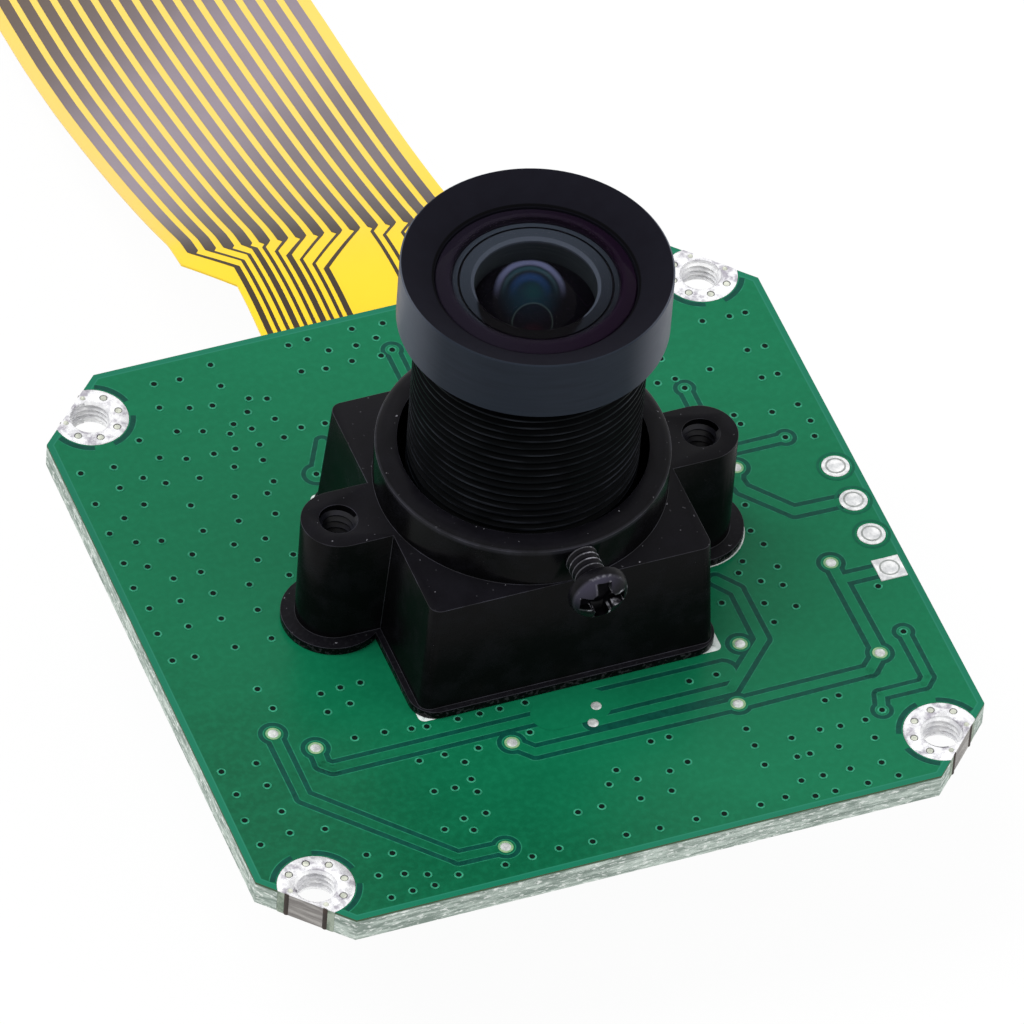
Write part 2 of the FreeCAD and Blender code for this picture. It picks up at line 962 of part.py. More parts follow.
def route_side(points, bends, distance):
    """The route moved sideways by distance: its edges, first point and last point."""
    first = points[0] + left_of(points[1] - points[0]) * distance
    last = points[-1] + left_of(points[-1] - points[-2]) * distance
    edges = []
    at = first
    for bend in bends:
        outwards_is_left = left_of(bend.end - bend.start).dot(bend.middle - bend.centre) > 0
        shift = distance if outwards_is_left else -distance
        arc_points = [
            point + (point - bend.centre).normalize() * shift
            for point in (bend.start, bend.middle, bend.end)
        ]
        edges.append(Part.LineSegment(at, arc_points[0]).toShape())
        edges.append(Part.Arc(*arc_points).toShape())
        at = arc_points[2]
    edges.append(Part.LineSegment(at, last).toShape())
    return edges, first, last


def cable_band():
    """The film's full-width band along the route: straight runs joined by tangent arcs."""
    thickness = size.film_thickness.value
    width = size.cable_width.value
    lift = under(size.film_depth).value - CABLE_ROUTE[0][1]
    edge = (size.board_side / 2).value
    points = [Vector(-width / 2, edge + y, z + lift) for y, z in CABLE_ROUTE]
    bends = tangent_arcs(points)
    upper, upper_start, upper_end = route_side(points, bends, thickness / 2)
    lower, lower_start, lower_end = route_side(points, bends, -thickness / 2)
    caps = [
        Part.LineSegment(upper_start, lower_start).toShape(),
        Part.LineSegment(upper_end, lower_end).toShape(),
    ]
    band = Part.Face(Part.Wire(Part.__sortEdges__(upper + lower + caps))).extrude(Vector(width, 0, 0))
    length = sum((after - before).Length for before, after in zip(points, points[1:]))
    length -= sum(2 * (bend.reach - bend.radius * bend.half_turn) for bend in bends)
    print("cable bend radii, mm:", [round(bend.radius, 1) for bend in bends])
    print(f"cable length {length:.2f} mm, band {band.Volume:.3f} mm3,", end=" ")
    print(f"section times length {length * width * thickness:.3f} mm3")
    feature = doc.addObject("Part::Feature", "CableBand")
    feature.Shape = band
    return feature


def flat_cable():
    """Film with its narrow neck, stiffeners at both ends and the bare contact fingers."""
    levels = socket_levels()
    neck = size.neck_width / 2
    wide = size.cable_width / 2
    edge = size.board_side / 2
    start = edge + CABLE_ROUTE[0][0]
    end = edge + CABLE_ROUTE[-1][0]
    flare_start = edge + size.flare_start
    flare_end = flare_start + size.flare_length
    plan = new_body()
    deepest = -4 * size.board_side
    sketch = sketch_on(plan, "XY_Plane", deepest)
    outline(
        sketch,
        [
            (-neck, start),
            (neck, start),
            (neck, flare_start),
            (wide, flare_end),
            (wide, end),
            (-wide, end),
            (-wide, flare_end),
            (-neck, flare_start),
        ],
    )
    pad(plan, sketch, -2 * deepest)
    keep(common(cable_band(), plan), "flex_cable")

    near = block(
        -neck,
        neck,
        start,
        start + size.near_stiffener_length,
        under(levels.stiff_far),
        under(levels.film_far),
    )
    keep(near, "near_stiffener")
    near_fingers = contact_slabs(
        CONTACT_COUNT,
        size.contact_pitch,
        size.near_finger_width,
        start,
        start + size.near_finger_length,
        under(levels.film_near),
        under(levels.finger),
    )
    keep(near_fingers, "near_fingers")

    far_middle = under(size.film_depth) + (CABLE_ROUTE[-1][1] - CABLE_ROUTE[0][1])
    far_under = far_middle - size.film_thickness / 2
    far_over = far_middle + size.film_thickness / 2
    far = block(-wide, wide, end - size.far_stiffener_length, end, far_under - size.stiffener_thickness, far_under)
    keep(far, "far_stiffener")
    far_fingers = contact_slabs(
        FAR_CONTACT_COUNT,
        size.far_pitch,
        size.far_finger_width,
        end - size.far_finger_length,
        end,
        far_over,
        far_over + size.finger_thickness,
    )
    keep(far_fingers, "far_fingers")


def chips(label, places, length, width, height):
    """Plain packages soldered to the back face."""
    keep(
        group([centred_block(x, y, length, width, under(height), under(0)) for x, y in places]),
        label,
    )


def two_ended(name, places, length, width, height, end):
    """Bodies and their two solder ends, which run round each end as caps."""
    bodies = []
    ends = []
    for x, y in places:
        bodies.append(centred_block(x, y, length - 2 * end, width, under(height), under(0)))
        for side in (-1, 1):
            middle = x + side * (length - end) / 2
            ends.append(centred_block(middle, y, end, width, under(height), under(0)))
    keep(group(bodies), f"{name}_bodies")
    keep(group(ends), f"{name}_ends")


def back_parts():
    """Supply regulators, clock and the passive parts that such a sensor board carries."""

    def from_left(places):
        return [(x - size.board_side / 2, y) for x, y in places]

    chips("regulators", from_left(REGULATORS), size.regulator_side, size.regulator_side, size.regulator_height)
    chips(
        "oscillator",
        [OSCILLATOR],
        size.oscillator_length,
        size.oscillator_width,
        size.oscillator_height,
    )
    chips("inductors", from_left(INDUCTORS), size.inductor_side, size.inductor_side, size.inductor_height)
    two_ended(
        "capacitor",
        from_left(LEFT_CAPACITORS) + CAPACITORS,
        size.capacitor_length,
        size.capacitor_width,
        size.capacitor_width,
        size.capacitor_end,
    )
    beside_socket = size.board_side / 2 - size.socket_inset - 2.8
    by_socket = [(x, beside_socket) for x in SOCKET_RESISTORS]
    two_ended(
        "resistor",
        by_socket + RESISTORS,
        size.resistor_length,
        size.resistor_width,
        size.resistor_height,
        size.resistor_end,
    )


board()
corner_pads()
header_pads()
sensor()
lens_holder()
ir_filter()
screws()
lens_barrel()
front_element()
retaining_ring()
second_element()
inner_stack()
socket()
flat_cable()
back_parts()
doc.recompute()

for thing in doc.Objects:
    if "Invalid" in thing.State or "Error" in thing.State:
        raise RuntimeError(f"{thing.Name} ({thing.Label}) failed: {thing.State}")
for thing in parts:
    if thing.Shape.isNull() or not thing.Shape.isValid() or not thing.Shape.Solids:
        raise RuntimeError(f"{thing.Label} has no valid solid")

os.makedirs("parts", exist_ok=True)
for thing in parts:
    thing.Shape.exportStep(f"parts/{thing.Label}.step")
    box = thing.Shape.BoundBox
    print(
        f"{thing.Label}: {len(thing.Shape.Solids)} solids, {thing.Shape.Volume:.3f} mm3, "
        f"x {box.XMin:.2f}..{box.XMax:.2f} y {box.YMin:.2f}..{box.YMax:.2f} z {box.ZMin:.2f}..{box.ZMax:.2f}"
    )
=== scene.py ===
# %% [markdown]
# # A small board camera
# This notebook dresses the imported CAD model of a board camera: a green circuit board with a moulded
# lens holder, a screw-in lens, a lock screw and a yellow flat cable. The CAD model gives every place
# and size. Here each visible piece gets its fine shape and its finish.

# %% Frame
import math
import bmesh
import bpy
from mathutils import Matrix, Vector


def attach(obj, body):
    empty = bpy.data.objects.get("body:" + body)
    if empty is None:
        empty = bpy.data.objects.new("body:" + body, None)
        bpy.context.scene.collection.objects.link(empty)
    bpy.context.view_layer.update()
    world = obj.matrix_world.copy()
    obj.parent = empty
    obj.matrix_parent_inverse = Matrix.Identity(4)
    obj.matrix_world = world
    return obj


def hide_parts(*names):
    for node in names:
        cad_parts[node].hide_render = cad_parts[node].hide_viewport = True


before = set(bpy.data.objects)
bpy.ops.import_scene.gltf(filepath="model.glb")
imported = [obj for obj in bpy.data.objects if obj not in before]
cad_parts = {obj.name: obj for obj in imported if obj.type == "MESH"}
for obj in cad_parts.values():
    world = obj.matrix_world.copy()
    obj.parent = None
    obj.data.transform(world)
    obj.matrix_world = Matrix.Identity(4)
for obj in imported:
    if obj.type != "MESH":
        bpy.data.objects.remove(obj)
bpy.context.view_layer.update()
bpy.ops.object.select_all(action="DESELECT")
MM = 0.001

# %% [markdown]
# ## Camera
# The photograph is taken from far off with a long lens, so parallel edges stay nearly parallel. A
# camera was fitted to the board's corners: it stands 0.68 m away, 47 degrees above the board. Its
# three axes are set directly, because that also fixes the small roll of the picture.

# %% Camera
camera_right = Vector((0.93398, -0.35303, 0.05514))
camera_down = Vector((-0.22308, -0.69667, -0.68183))
camera_ahead = Vector((0.27912, 0.62452, -0.72943))
bpy.ops.object.camera_add(location=(-0.189908, -0.424210, 0.500228))
camera = bpy.context.object
turn = Matrix((camera_right, -camera_down, -camera_ahead)).transposed()
camera.rotation_euler = turn.to_euler()
camera.data.lens = 462.6
camera.data.sensor_width = 36
camera.data.clip_start = 0.05
camera.data.clip_end = 20
bpy.context.scene.camera = camera
print("camera distance, m:", round(camera.location.length, 3))

# %% [markdown]
# ## Working by hand, in code
# These helpers do what a hand does in the viewport: pick one object, pick the part of its mesh that
# lies in some place, and finish it with a modifier that is applied at once.

# %% Picking and finishing
def pick(obj):
    """Selects one object alone."""
    bpy.ops.object.select_all(action="DESELECT")
    obj.select_set(True)
    bpy.context.view_layer.objects.active = obj


def select_where(obj, test):
    """In edit mode, selects the corners whose place in mm passes the test."""
    pick(obj)
    bpy.ops.object.mode_set(mode="EDIT")
    bpy.ops.mesh.select_mode(type="VERT")
    bpy.ops.mesh.select_all(action="DESELECT")
    mesh = bmesh.from_edit_mesh(obj.data)
    for vert in mesh.verts:
        if test(vert.co / MM):
            vert.select_set(True)
    bmesh.update_edit_mesh(obj.data)


def leave_edit():
    bpy.ops.object.mode_set(mode="OBJECT")


def finish_with(obj, kind, **settings):
    """Adds a modifier with its settings and applies it."""
    pick(obj)
    bpy.ops.object.modifier_add(type=kind)
    modifier = obj.modifiers[-1]
    for name, value in settings.items():
        setattr(modifier, name, value)
    bpy.ops.object.modifier_apply(modifier=modifier.name)
    return obj


def carve(obj, tool):
    """Cuts a tool's shape out of an object and drops the tool."""
    finish_with(obj, "BOOLEAN", operation="DIFFERENCE", solver="EXACT", object=tool)
    bpy.data.objects.remove(tool)


def settle(obj, name, smooth=30):
    """Names a piece, moves its place into its mesh and shades its gentle edges smooth."""
    pick(obj)
    bpy.ops.object.transform_apply(location=True, rotation=True, scale=True)
    obj.name = name
    obj.data.name = name
    bpy.ops.object.shade_smooth_by_angle(angle=math.radians(smooth))
    return obj


def joined(objects):
    """Joins several objects into the first."""
    bpy.ops.object.select_all(action="DESELECT")
    for obj in objects:
        obj.select_set(True)
    bpy.context.view_layer.objects.active = objects[0]
    if len(objects) > 1:
        bpy.ops.object.join()
    return bpy.context.object


def copies(obj, places):
    """Copies a finished shape to each place in millimetres, joins the copies and drops the first."""
    made = []
    for x, y, z in places:
        pick(obj)
        bpy.ops.object.duplicate()
        twin = bpy.context.object
        twin.location = (x * MM, y * MM, z * MM)
        made.append(twin)
    bpy.data.objects.remove(obj)
    return joined(made)


def drawn(outline):
    """Draws (radius, height) points in mm in the XZ plane by extruding one point; stays in edit mode."""
    bpy.ops.mesh.primitive_plane_add(size=MM)
    obj = bpy.context.object
    bpy.ops.object.mode_set(mode="EDIT")
    bpy.ops.mesh.select_mode(type="VERT")
    bpy.ops.mesh.select_all(action="SELECT")
    bpy.ops.mesh.merge(type="CENTER")
    bpy.ops.transform.translate(value=(outline[0][0] * MM, 0, outline[0][1] * MM))
    for (r0, z0), (r1, z1) in zip(outline, outline[1:]):
        step = ((r1 - r0) * MM, 0, (z1 - z0) * MM)
        bpy.ops.mesh.extrude_region_move(TRANSFORM_OT_translate={"value": step})
    return obj


def turned(profile, steps, sweep=360):
    """Draws a half outline and spins it round the Z axis."""
    obj = drawn(profile)
    bpy.ops.mesh.select_all(action="SELECT")
    bpy.ops.mesh.spin(steps=steps, angle=math.radians(sweep), center=(0, 0, 0), axis=(0, 0, 1))
    bpy.ops.mesh.select_all(action="SELECT")
    bpy.ops.mesh.remove_doubles(threshold=2e-6)
    bpy.ops.mesh.normals_make_consistent(inside=False)
    leave_edit()
    return obj


# %% [markdown]
# ## Threads
# A thread is one tooth's outline carried up a screw line. The Screw modifier does this: `pitch` is the
# rise of a turn.

# %% Thread maker
def thread(core, crest, pitch, turns, steps, flat=0.12):
    """A thread round the Z axis that starts at height 0; crest may be smaller than core, for a nut."""
    half = pitch / 2
    obj = drawn([(core, -half), (crest, -half * flat), (crest, half * flat), (core, half)])
    leave_edit()
    return finish_with(
        obj,
        "SCREW",
        axis="Z",
        angle=2 * math.pi,
        screw_offset=pitch * MM,
        iterations=turns,
        steps=steps,
        render_steps=steps,
        use_merge_vertices=True,
        merge_threshold=1e-6,
    )


# %% [markdown]
# ## Finishes as arithmetic
# A material is easier to read as a formula than as a web of boxes. `Wire` stands for one output of a
# node, and adding or multiplying wires adds the Math nodes. `Finish` owns the material, and its one
# method `node` makes a node: settings first, then sockets.

# %% Wires and finishes
class Wire:
    def __init__(self, finish, socket):
        self.finish = finish
        self.socket = socket

    def math(self, operation, *others):
        inputs = dict(enumerate((self, *others)))
        return self.finish.node("ShaderNodeMath", {"operation": operation}, inputs)

    def __add__(self, other):
        return self.math("ADD", other)

    def __sub__(self, other):
        return self.math("SUBTRACT", other)

    def __rsub__(self, other):
        return (self * -1) + other

    def __mul__(self, other):
        return self.math("MULTIPLY", other)

    __radd__ = __add__
    __rmul__ = __mul__

    def size(self):
        return self.math("ABSOLUTE")

    def most(self, other):
        return self.math("MAXIMUM", other)

    def least(self, other):
        return self.math("MINIMUM", other)

    def reach(self, other):
        """The length of the arrow whose two parts these are."""
        return (self * self + other * other).math("SQRT")

    def soft_step(self, low, high):
        """0 below low, 1 above high and a smooth rise between them."""
        settings = {"interpolation_type": "SMOOTHSTEP"}
        inputs = {0: self, 1: low, 2: high, 3: 0.0, 4: 1.0}
        return self.finish.node("ShaderNodeMapRange", settings, inputs)

    def fade(self, low, high):
        """1 below low, 0 above high and a smooth fall between them."""
        return 1.0 - self.soft_step(low, high)


class Finish:
    def __init__(self, name, colour, roughness=0.5, **fixed):
        self.material = bpy.data.materials.new(name)
        self.material.use_nodes = True
        self.tree = self.material.node_tree
        self.shader = self.tree.nodes["Principled BSDF"]
        self.shader.inputs["Base Color"].default_value = colour_of(colour)
        self.shader.inputs["Roughness"].default_value = roughness
        for name, value in fixed.items():
            self.shader.inputs[name.replace("_", " ")].default_value = value
        self.place = self.node("ShaderNodeTexCoord", {}, {}, "Object")

    def node(self, kind, settings, inputs, output=0):
        made = self.tree.nodes.new(kind)
        for key, value in settings.items():
            setattr(made, key, value)
        for key, value in inputs.items():
            if isinstance(value, Wire):
                self.tree.links.new(value.socket, made.inputs[key])
            else:
                made.inputs[key].default_value = value
        return Wire(self, made.outputs[output])

    def axes(self, vector=None):
        """The three parts of a vector, of the place on the object if none is given."""
        split = self.tree.nodes.new("ShaderNodeSeparateXYZ")
        self.tree.links.new((vector or self.place).socket, split.inputs[0])
        return [Wire(self, out) for out in split.outputs]

    def noise(self, scale, detail, roughness, place=None):
        inputs = {"Vector": place or self.place, "Scale": scale, "Detail": detail, "Roughness": roughness}
        return self.node("ShaderNodeTexNoise", {}, inputs)

    def stretched(self, x, y, z):
        """The place on the object, scaled along each axis, for streaks."""
        return self.node("ShaderNodeMapping", {}, {"Vector": self.place, "Scale": (x, y, z)})

    def mix(self, share, one, two):
        made = self.tree.nodes.new("ShaderNodeMix")
        made.data_type = "RGBA"
        for key, value in (("Factor", share), ("A", one), ("B", two)):
            socket = next(s for s in made.inputs if s.name == key and s.enabled)
            value = colour_of(value) if isinstance(value, int) else value
            if isinstance(value, Wire):
                self.tree.links.new(value.socket, socket)
            else:
                socket.default_value = value
        return Wire(self, next(s for s in made.outputs if s.enabled))

    def bump(self, height, distance, strength=1.0):
        inputs = {"Height": height, "Distance": distance, "Strength": strength}
        return self.node("ShaderNodeBump", {}, inputs)

    def set(self, **inputs):
        """Feeds wires to the shader's sockets."""
        for name, wire in inputs.items():
            self.tree.links.new(wire.socket, self.shader.inputs[name.replace("_", " ")])

    def coat(self, obj):
        """Adds the finish to a piece."""
        obj.data.materials.append(self.material)


def colour_of(code):
    """A colour written as on a screen, such as 0x228855, in the numbers that Blender works with."""
    parts = [(code >> shift & 255) / 255 for shift in (16, 8, 0)]
    linear = [p / 12.92 if p <= 0.04045 else ((p + 0.055) / 1.055) ** 2.4 for p in parts]
    return (*linear, 1.0)


# %% [markdown]
# ## The flat cable's line
# A flat cable bends only across its flat side. The curve below is its middle line, a NURBS with the
# same points as the CAD route: out of the connector, over a bend behind the board, and down to the
# surface that the free end lies on. Everything on the cable follows points read from it.

# %% Cable line
EDGE = 20.0
CABLE_ROUTE = [
    (-8.55, -2.45), (-0.8, -2.45), (7.0, -2.2), (15.0, -5.45), (25.0, -8.45), (35.5, -10.95),
    (48.0, -12.75), (62.0, -13.04), (80.0, -12.6), (102.0, -12.95), (121.0, -12.84), (140.0, -12.84),
]


def line_points(route):
    """Points read from a NURBS line through the given control points, in metres."""
    bpy.ops.curve.primitive_nurbs_path_add()
    curve = bpy.context.object
    curve.data.splines.clear()
    spline = curve.data.splines.new("NURBS")
    spline.points.add(len(route) - 1)
    for point, (x, y, z) in zip(spline.points, route):
        point.co = (x * MM, y * MM, z * MM, 1)
    spline.order_u = 3
    spline.use_endpoint_u = True
    spline.resolution_u = 24
    mesh = bpy.data.meshes.new_from_object(curve)
    points = [vert.co.copy() for vert in mesh.vertices]
    bpy.data.objects.remove(curve)
    bpy.data.meshes.remove(mesh)
    return points


cable_line = line_points([(0, EDGE + y, z) for y, z in CABLE_ROUTE])
cable_reach = [0.0]
for before, after in zip(cable_line, cable_line[1:]):
    cable_reach.append(cable_reach[-1] + (after - before).length)
print(f"cable line: {len(cable_line)} points, {cable_reach[-1] / MM:.2f} mm")


# The cable rolls a little on its way: (mm along it, degrees that its +X side is raised).
ROLL = [(0, 0), (11, 0), (19, -4), (26, -0.5), (38, 6.5), (43, 8), (60, 7), (95, 0), (160, 0)]


def roll_at(s):
    """The cable's roll in radians at s mm along it."""
    for (s0, a0), (s1, a1) in zip(ROLL, ROLL[1:]):
        if s <= s1:
            return math.radians(a0 + (a1 - a0) * (s - s0) / (s1 - s0))
    return 0.0


def on_cable(x, s, lift=0.0):
    """The point x mm across and s mm along the cable, lifted off its middle surface."""
    s = min(max(s * MM, 0), cable_reach[-1])
    index = next((i for i, at in enumerate(cable_reach) if at >= s), len(cable_reach) - 1)
    index = max(index, 1)
    before, after = cable_line[index - 1], cable_line[index]
    share = (s - cable_reach[index - 1]) / (cable_reach[index] - cable_reach[index - 1])
    way = (after - before).normalized()
    up = Vector((1, 0, 0)).cross(way)
    roll = roll_at(s / MM)
    across = Vector((1, 0, 0)) * math.cos(roll) + up * math.sin(roll)
    up = across.cross(way)
    return before.lerp(after, share) + across * (x * MM) + up * (lift * MM)


BAND_STEP = 0.5


def cable_band(name, left, right, s0, s1, low, high, columns=1):
    """A closed band between two sides, each a list of (s, x); its map has U across and V along."""
    def side(points, s):
        for (s_a, x_a), (s_b, x_b) in zip(points, points[1:]):
            if s <= s_b:
                return x_a + (x_b - x_a) * (s - s_a) / (s_b - s_a)
        return points[-1][1]

    stops = {s0, s1} | {s for s, _ in left + right if s0 < s < s1}
    stops |= {BAND_STEP * i for i in range(int(s1 / BAND_STEP) + 1) if s0 < BAND_STEP * i < s1}
    mesh = bmesh.new()
    uv = mesh.loops.layers.uv.new("Along")
    rings = []
    for s in sorted(stops):
        a, b = side(left, s), side(right, s)
        row = [a + (b - a) * i / columns for i in range(columns + 1)]
        around = [(x, low) for x in row] + [(x, high) for x in reversed(row)]
        rings.append((s, [x for x, _ in around], [mesh.verts.new(on_cable(x, s, z)) for x, z in around]))
    for (s_a, xs_a, ring_a), (s_b, xs_b, ring_b) in zip(rings, rings[1:]):
        for i in range(len(ring_a)):
            j = (i + 1) % len(ring_a)
            face = mesh.faces.new((ring_a[i], ring_a[j], ring_b[j], ring_b[i]))
            for loop, u, v in zip(face.loops, (xs_a[i], xs_a[j], xs_b[j], xs_b[i]), (s_a, s_a, s_b, s_b)):
                loop[uv].uv = (u, v)
    mesh.faces.new(rings[0][2][::-1])
    mesh.faces.new(rings[-1][2])
    bmesh.ops.recalc_face_normals(mesh, faces=mesh.faces)
    data = bpy.data.meshes.new(name)
    mesh.to_mesh(data)
    mesh.free()
    obj = bpy.data.objects.new(name, data)
    bpy.context.scene.collection.objects.link(obj)
    return obj


# %% [markdown]
# ## The cable's film and conductors
# The film is one strip with a narrow neck that flares to the full width, so its two sides are lists of
# places along the cable. Fifteen conductors run in it at 1 mm. At the flare they step sideways to the
# connector's pins, which are 0.5 mm apart: the first ten go to pins 1 to 10, the last five to pins 17,
# 18, 20, 21 and 22. Between them the film stays plain.

# %% Cable film
NECK, WIDE = 5.75, 8.0
FLARE_START, FLARE_END = 14.4, 16.95
SIDE = [(0, NECK), (FLARE_START, NECK), (FLARE_END, WIDE), (150, WIDE)]
cable_end = cable_reach[-1] / MM
film = cable_band("cable_film", [(s, -x) for s, x in SIDE], SIDE, 0, cable_end, -0.06, 0.06, 16)

# %% Conductors
PINS = list(range(1, 11)) + [17, 18, 20, 21, 22]
STRONG = {1, 4, 7, 10, 22}
FIRST_PIN, PIN_PITCH = -5.25, 0.5
FIRST_STRAND, STRAND_HALF = -7.0, 0.31
STRAND_START, STRAND_END = 4.4, 144.2
strands = []
for number, pin in enumerate(PINS):
    wide_x = FIRST_STRAND + number
    pin_x = FIRST_PIN + PIN_PITCH * (pin - 1)
    half = 0.16 if pin in STRONG else 0.1
    shoulder = 17.9 - 0.064 * number
    jog_end = shoulder - 0.25
    jog_start = jog_end - abs(wide_x - pin_x) - 0.05
    left, right = (
        [
            (0, pin_x + sign * half),
            (jog_start, pin_x + sign * half),
            (jog_end, wide_x + sign * 0.12),
            (shoulder, wide_x + sign * STRAND_HALF),
            (200, wide_x + sign * STRAND_HALF),
        ]
        for sign in (-1, 1)
    )
    strands.append(cable_band("strand", left, right, STRAND_START, STRAND_END, -0.075, 0.075))
conductors = joined(strands)
print("conductors:", len(conductors.data.polygons), "faces")

# %% [markdown]
# The film is clear yellow. Seen at a slant, far from the board, both the film and the conductors pick up
# a pale sheen, and this sheen is painted into their colours along the cable: the conductors go from dark
# brown to a pale grey-purple, brightest in a slanted band, and the film to a paler cream, paler again at
# its left edge. The map on each face has U across the cable and V along it, in mm.

# %% Cable finishes
wire_finish = Finish("cable_conductor", 0x3A2C14, 0.35, Specular_IOR_Level=0.4)
u, v, _ = wire_finish.axes(wire_finish.node("ShaderNodeTexCoord", {}, {}, "UV"))
cloud = wire_finish.noise(400, 3, 0.5)
# Painted sheen: dark brown near the board to pale grey-purple further on, brightest in a slanted band,
# then duller brown-grey.
tone = wire_finish.mix((v + cloud * 3).soft_step(17, 27), 0x2A1E0E, 0x6E6468)
slant = v + u * -0.8
sheen = slant.soft_step(24, 33) * slant.fade(36, 50)
tone = wire_finish.mix(sheen * 0.6, tone, 0x9A8E9A)
tone = wire_finish.mix((v + u * -0.6).soft_step(38, 54), tone, 0x5C5048)
tone = wire_finish.mix(cloud * 0.2, tone, 0x4A3A30)
wire_finish.set(Base_Color=tone, Roughness=cloud * 0.1 + 0.3)
wire_finish.coat(conductors)

film_finish = Finish("yellow_film", 0xE8C21E, 0.35, Specular_IOR_Level=0.4)
u, v, _ = film_finish.axes(film_finish.node("ShaderNodeTexCoord", {}, {}, "UV"))
cloud = film_finish.noise(300, 3, 0.5)
tone = film_finish.mix(cloud * 0.4, 0xE8C21E, 0xF2D236)
# Painted sheen: paler cream further along the cable, and paler at the film's left edge.
tone = film_finish.mix((v + cloud * 4).soft_step(18, 34) * 0.8, tone, 0xE4C664)
left_edge_sheen = (u + cloud * 0.8).fade(-7.6, -6.2)
tone = film_finish.mix(left_edge_sheen * v.soft_step(16, 26) * 0.6, tone, 0xE6C066)
film_finish.set(Base_Color=tone, Roughness=cloud * 0.12 + 0.28)
film_finish.coat(film)

# %% [markdown]
# The film and its conductors bend together, so they are one piece, joined to the module's frame. The
# cable is 150 mm long, with a second set of contacts and its stiffener at the free end.

# %% Cable as one piece
cable = settle(joined([film, conductors]), "flat_cable", 30)
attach(cable, "module")
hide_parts("flex_cable")

# %% [markdown]
# ## Two-tone finishes
# No real surface has one flat colour. This recipe gives every material a main tone, a second tone that
# comes and goes with fine noise, and a matching unevenness in its gloss.

# %% Two-tone recipe
def two_tone(name, colour, other, roughness, grain=900, spread=0.5, bumps=0.0, **fixed):
    """A finish with a second tone, drawn by noise with `grain` cells a metre, and bumps in mm."""
    finish = Finish(name, colour, roughness, **fixed)
    cloud = finish.noise(grain, 4, 0.6)
    share = cloud.soft_step(0.5 - spread / 2, 0.5 + spread / 2)
    finish.tone = finish.mix(share, colour, other)
    finish.set(Base_Color=finish.tone, Roughness=share * 0.12 + roughness)
    if bumps:
        finish.set(Normal=finish.bump(cloud, bumps * MM))
    return finish


# %% [markdown]
# ## Finishes of the hidden and small pieces
# These pieces keep their CAD shape. Each line gives the two tones, the roughness and any metal.

# %% Small pieces
SMALL = {
    "sensor_package": ("ceramic", 0x26262A, 0x34343A, 0.5, 0),
    "sensor_die": ("silicon", 0x2E3A44, 0x44525E, 0.2, 0.4),
    "sensor_cover_glass": ("cover_glass", 0x3A4448, 0x4A5660, 0.08, 0),
    "ir_filter": ("filter_glass", 0x3A2038, 0x20323A, 0.08, 0),
    "holder_screws": ("black_steel_back", 0x1A1A1D, 0x34343A, 0.3, 0.6),
    "front_spacer": ("spacer_black", 0x0C0C0E, 0x18181B, 0.5, 0),
    "aperture_stop": ("stop_metal", 0x101012, 0x1C1C20, 0.5, 0.3),
    "rear_spacer": ("spacer_black_rear", 0x0C0C0E, 0x18181B, 0.5, 0),
    "third_element": ("lens_glass_third", 0x14181A, 0x1E2628, 0.05, 0),
    "fourth_element": ("lens_glass_fourth", 0x16141E, 0x1E2432, 0.05, 0),
    "socket_housing": ("socket_plastic", 0xC9C0A8, 0xD8D0BC, 0.45, 0),
    "socket_contacts": ("contact_tin", 0xB8B4A8, 0xD8D4C8, 0.3, 0.8),
    "socket_side_tabs": ("side_tab_tin", 0xB0B0B2, 0xD0D0D2, 0.3, 0.8),
    "socket_latch": ("latch_plastic", 0x2A2018, 0x3A2E24, 0.4, 0),
    "near_stiffener": ("amber_stiffener", 0x2A4A8A, 0x34569A, 0.35, 0),
    "far_stiffener": ("amber_stiffener_far", 0x2A4A8A, 0x34569A, 0.35, 0),
    "near_fingers": ("gold_contact", 0xC89A3C, 0xE0B860, 0.25, 0.9),
    "far_fingers": ("gold_contact_far", 0xC89A3C, 0xE0B860, 0.25, 0.9),
    "regulators": ("chip_black", 0x141416, 0x222226, 0.45, 0),
    "oscillator": ("oscillator_lid", 0xA8A8A4, 0xC4C4C0, 0.3, 0.8),
    "inductors": ("inductor_grey", 0x2C2C2E, 0x3C3C40, 0.55, 0),
    "capacitor_bodies": ("capacitor_brown", 0x7A5A3C, 0x8E6C4C, 0.45, 0),
    "capacitor_ends": ("cap_end_tin", 0xB8B8B8, 0xD8D8D8, 0.3, 0.8),
    "resistor_bodies": ("resistor_black", 0x121214, 0x1E1E22, 0.4, 0),
    "resistor_ends": ("resistor_end_tin", 0xB8B8B8, 0xD8D8D8, 0.3, 0.8),
}
for node, (name, colour, other, roughness, metal) in SMALL.items():
    small_finish = two_tone(name, colour, other, roughness, 1400, 0.5, 0.01, Metallic=metal)
    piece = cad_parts[node]
    piece.data.materials.clear()
    small_finish.coat(piece)
print("small pieces finished:", len(SMALL))

# %% [markdown]
# ## Board
# The board keeps its CAD shape. Its material looks at the face's direction: lacquer on the flat sides,
# grey-green fibre on the cut edges. On the lacquer, the copper pour ends a little inside the edge, so a
# brighter rim is left beyond a thin pale line.

# %% Board lacquer and fibre
# The slanted cut meets X + Y = BOARD_CUT, and SLANT is the sine of its 45 degrees.
BOARD_CUT = 36.0
SLANT = 0.70711


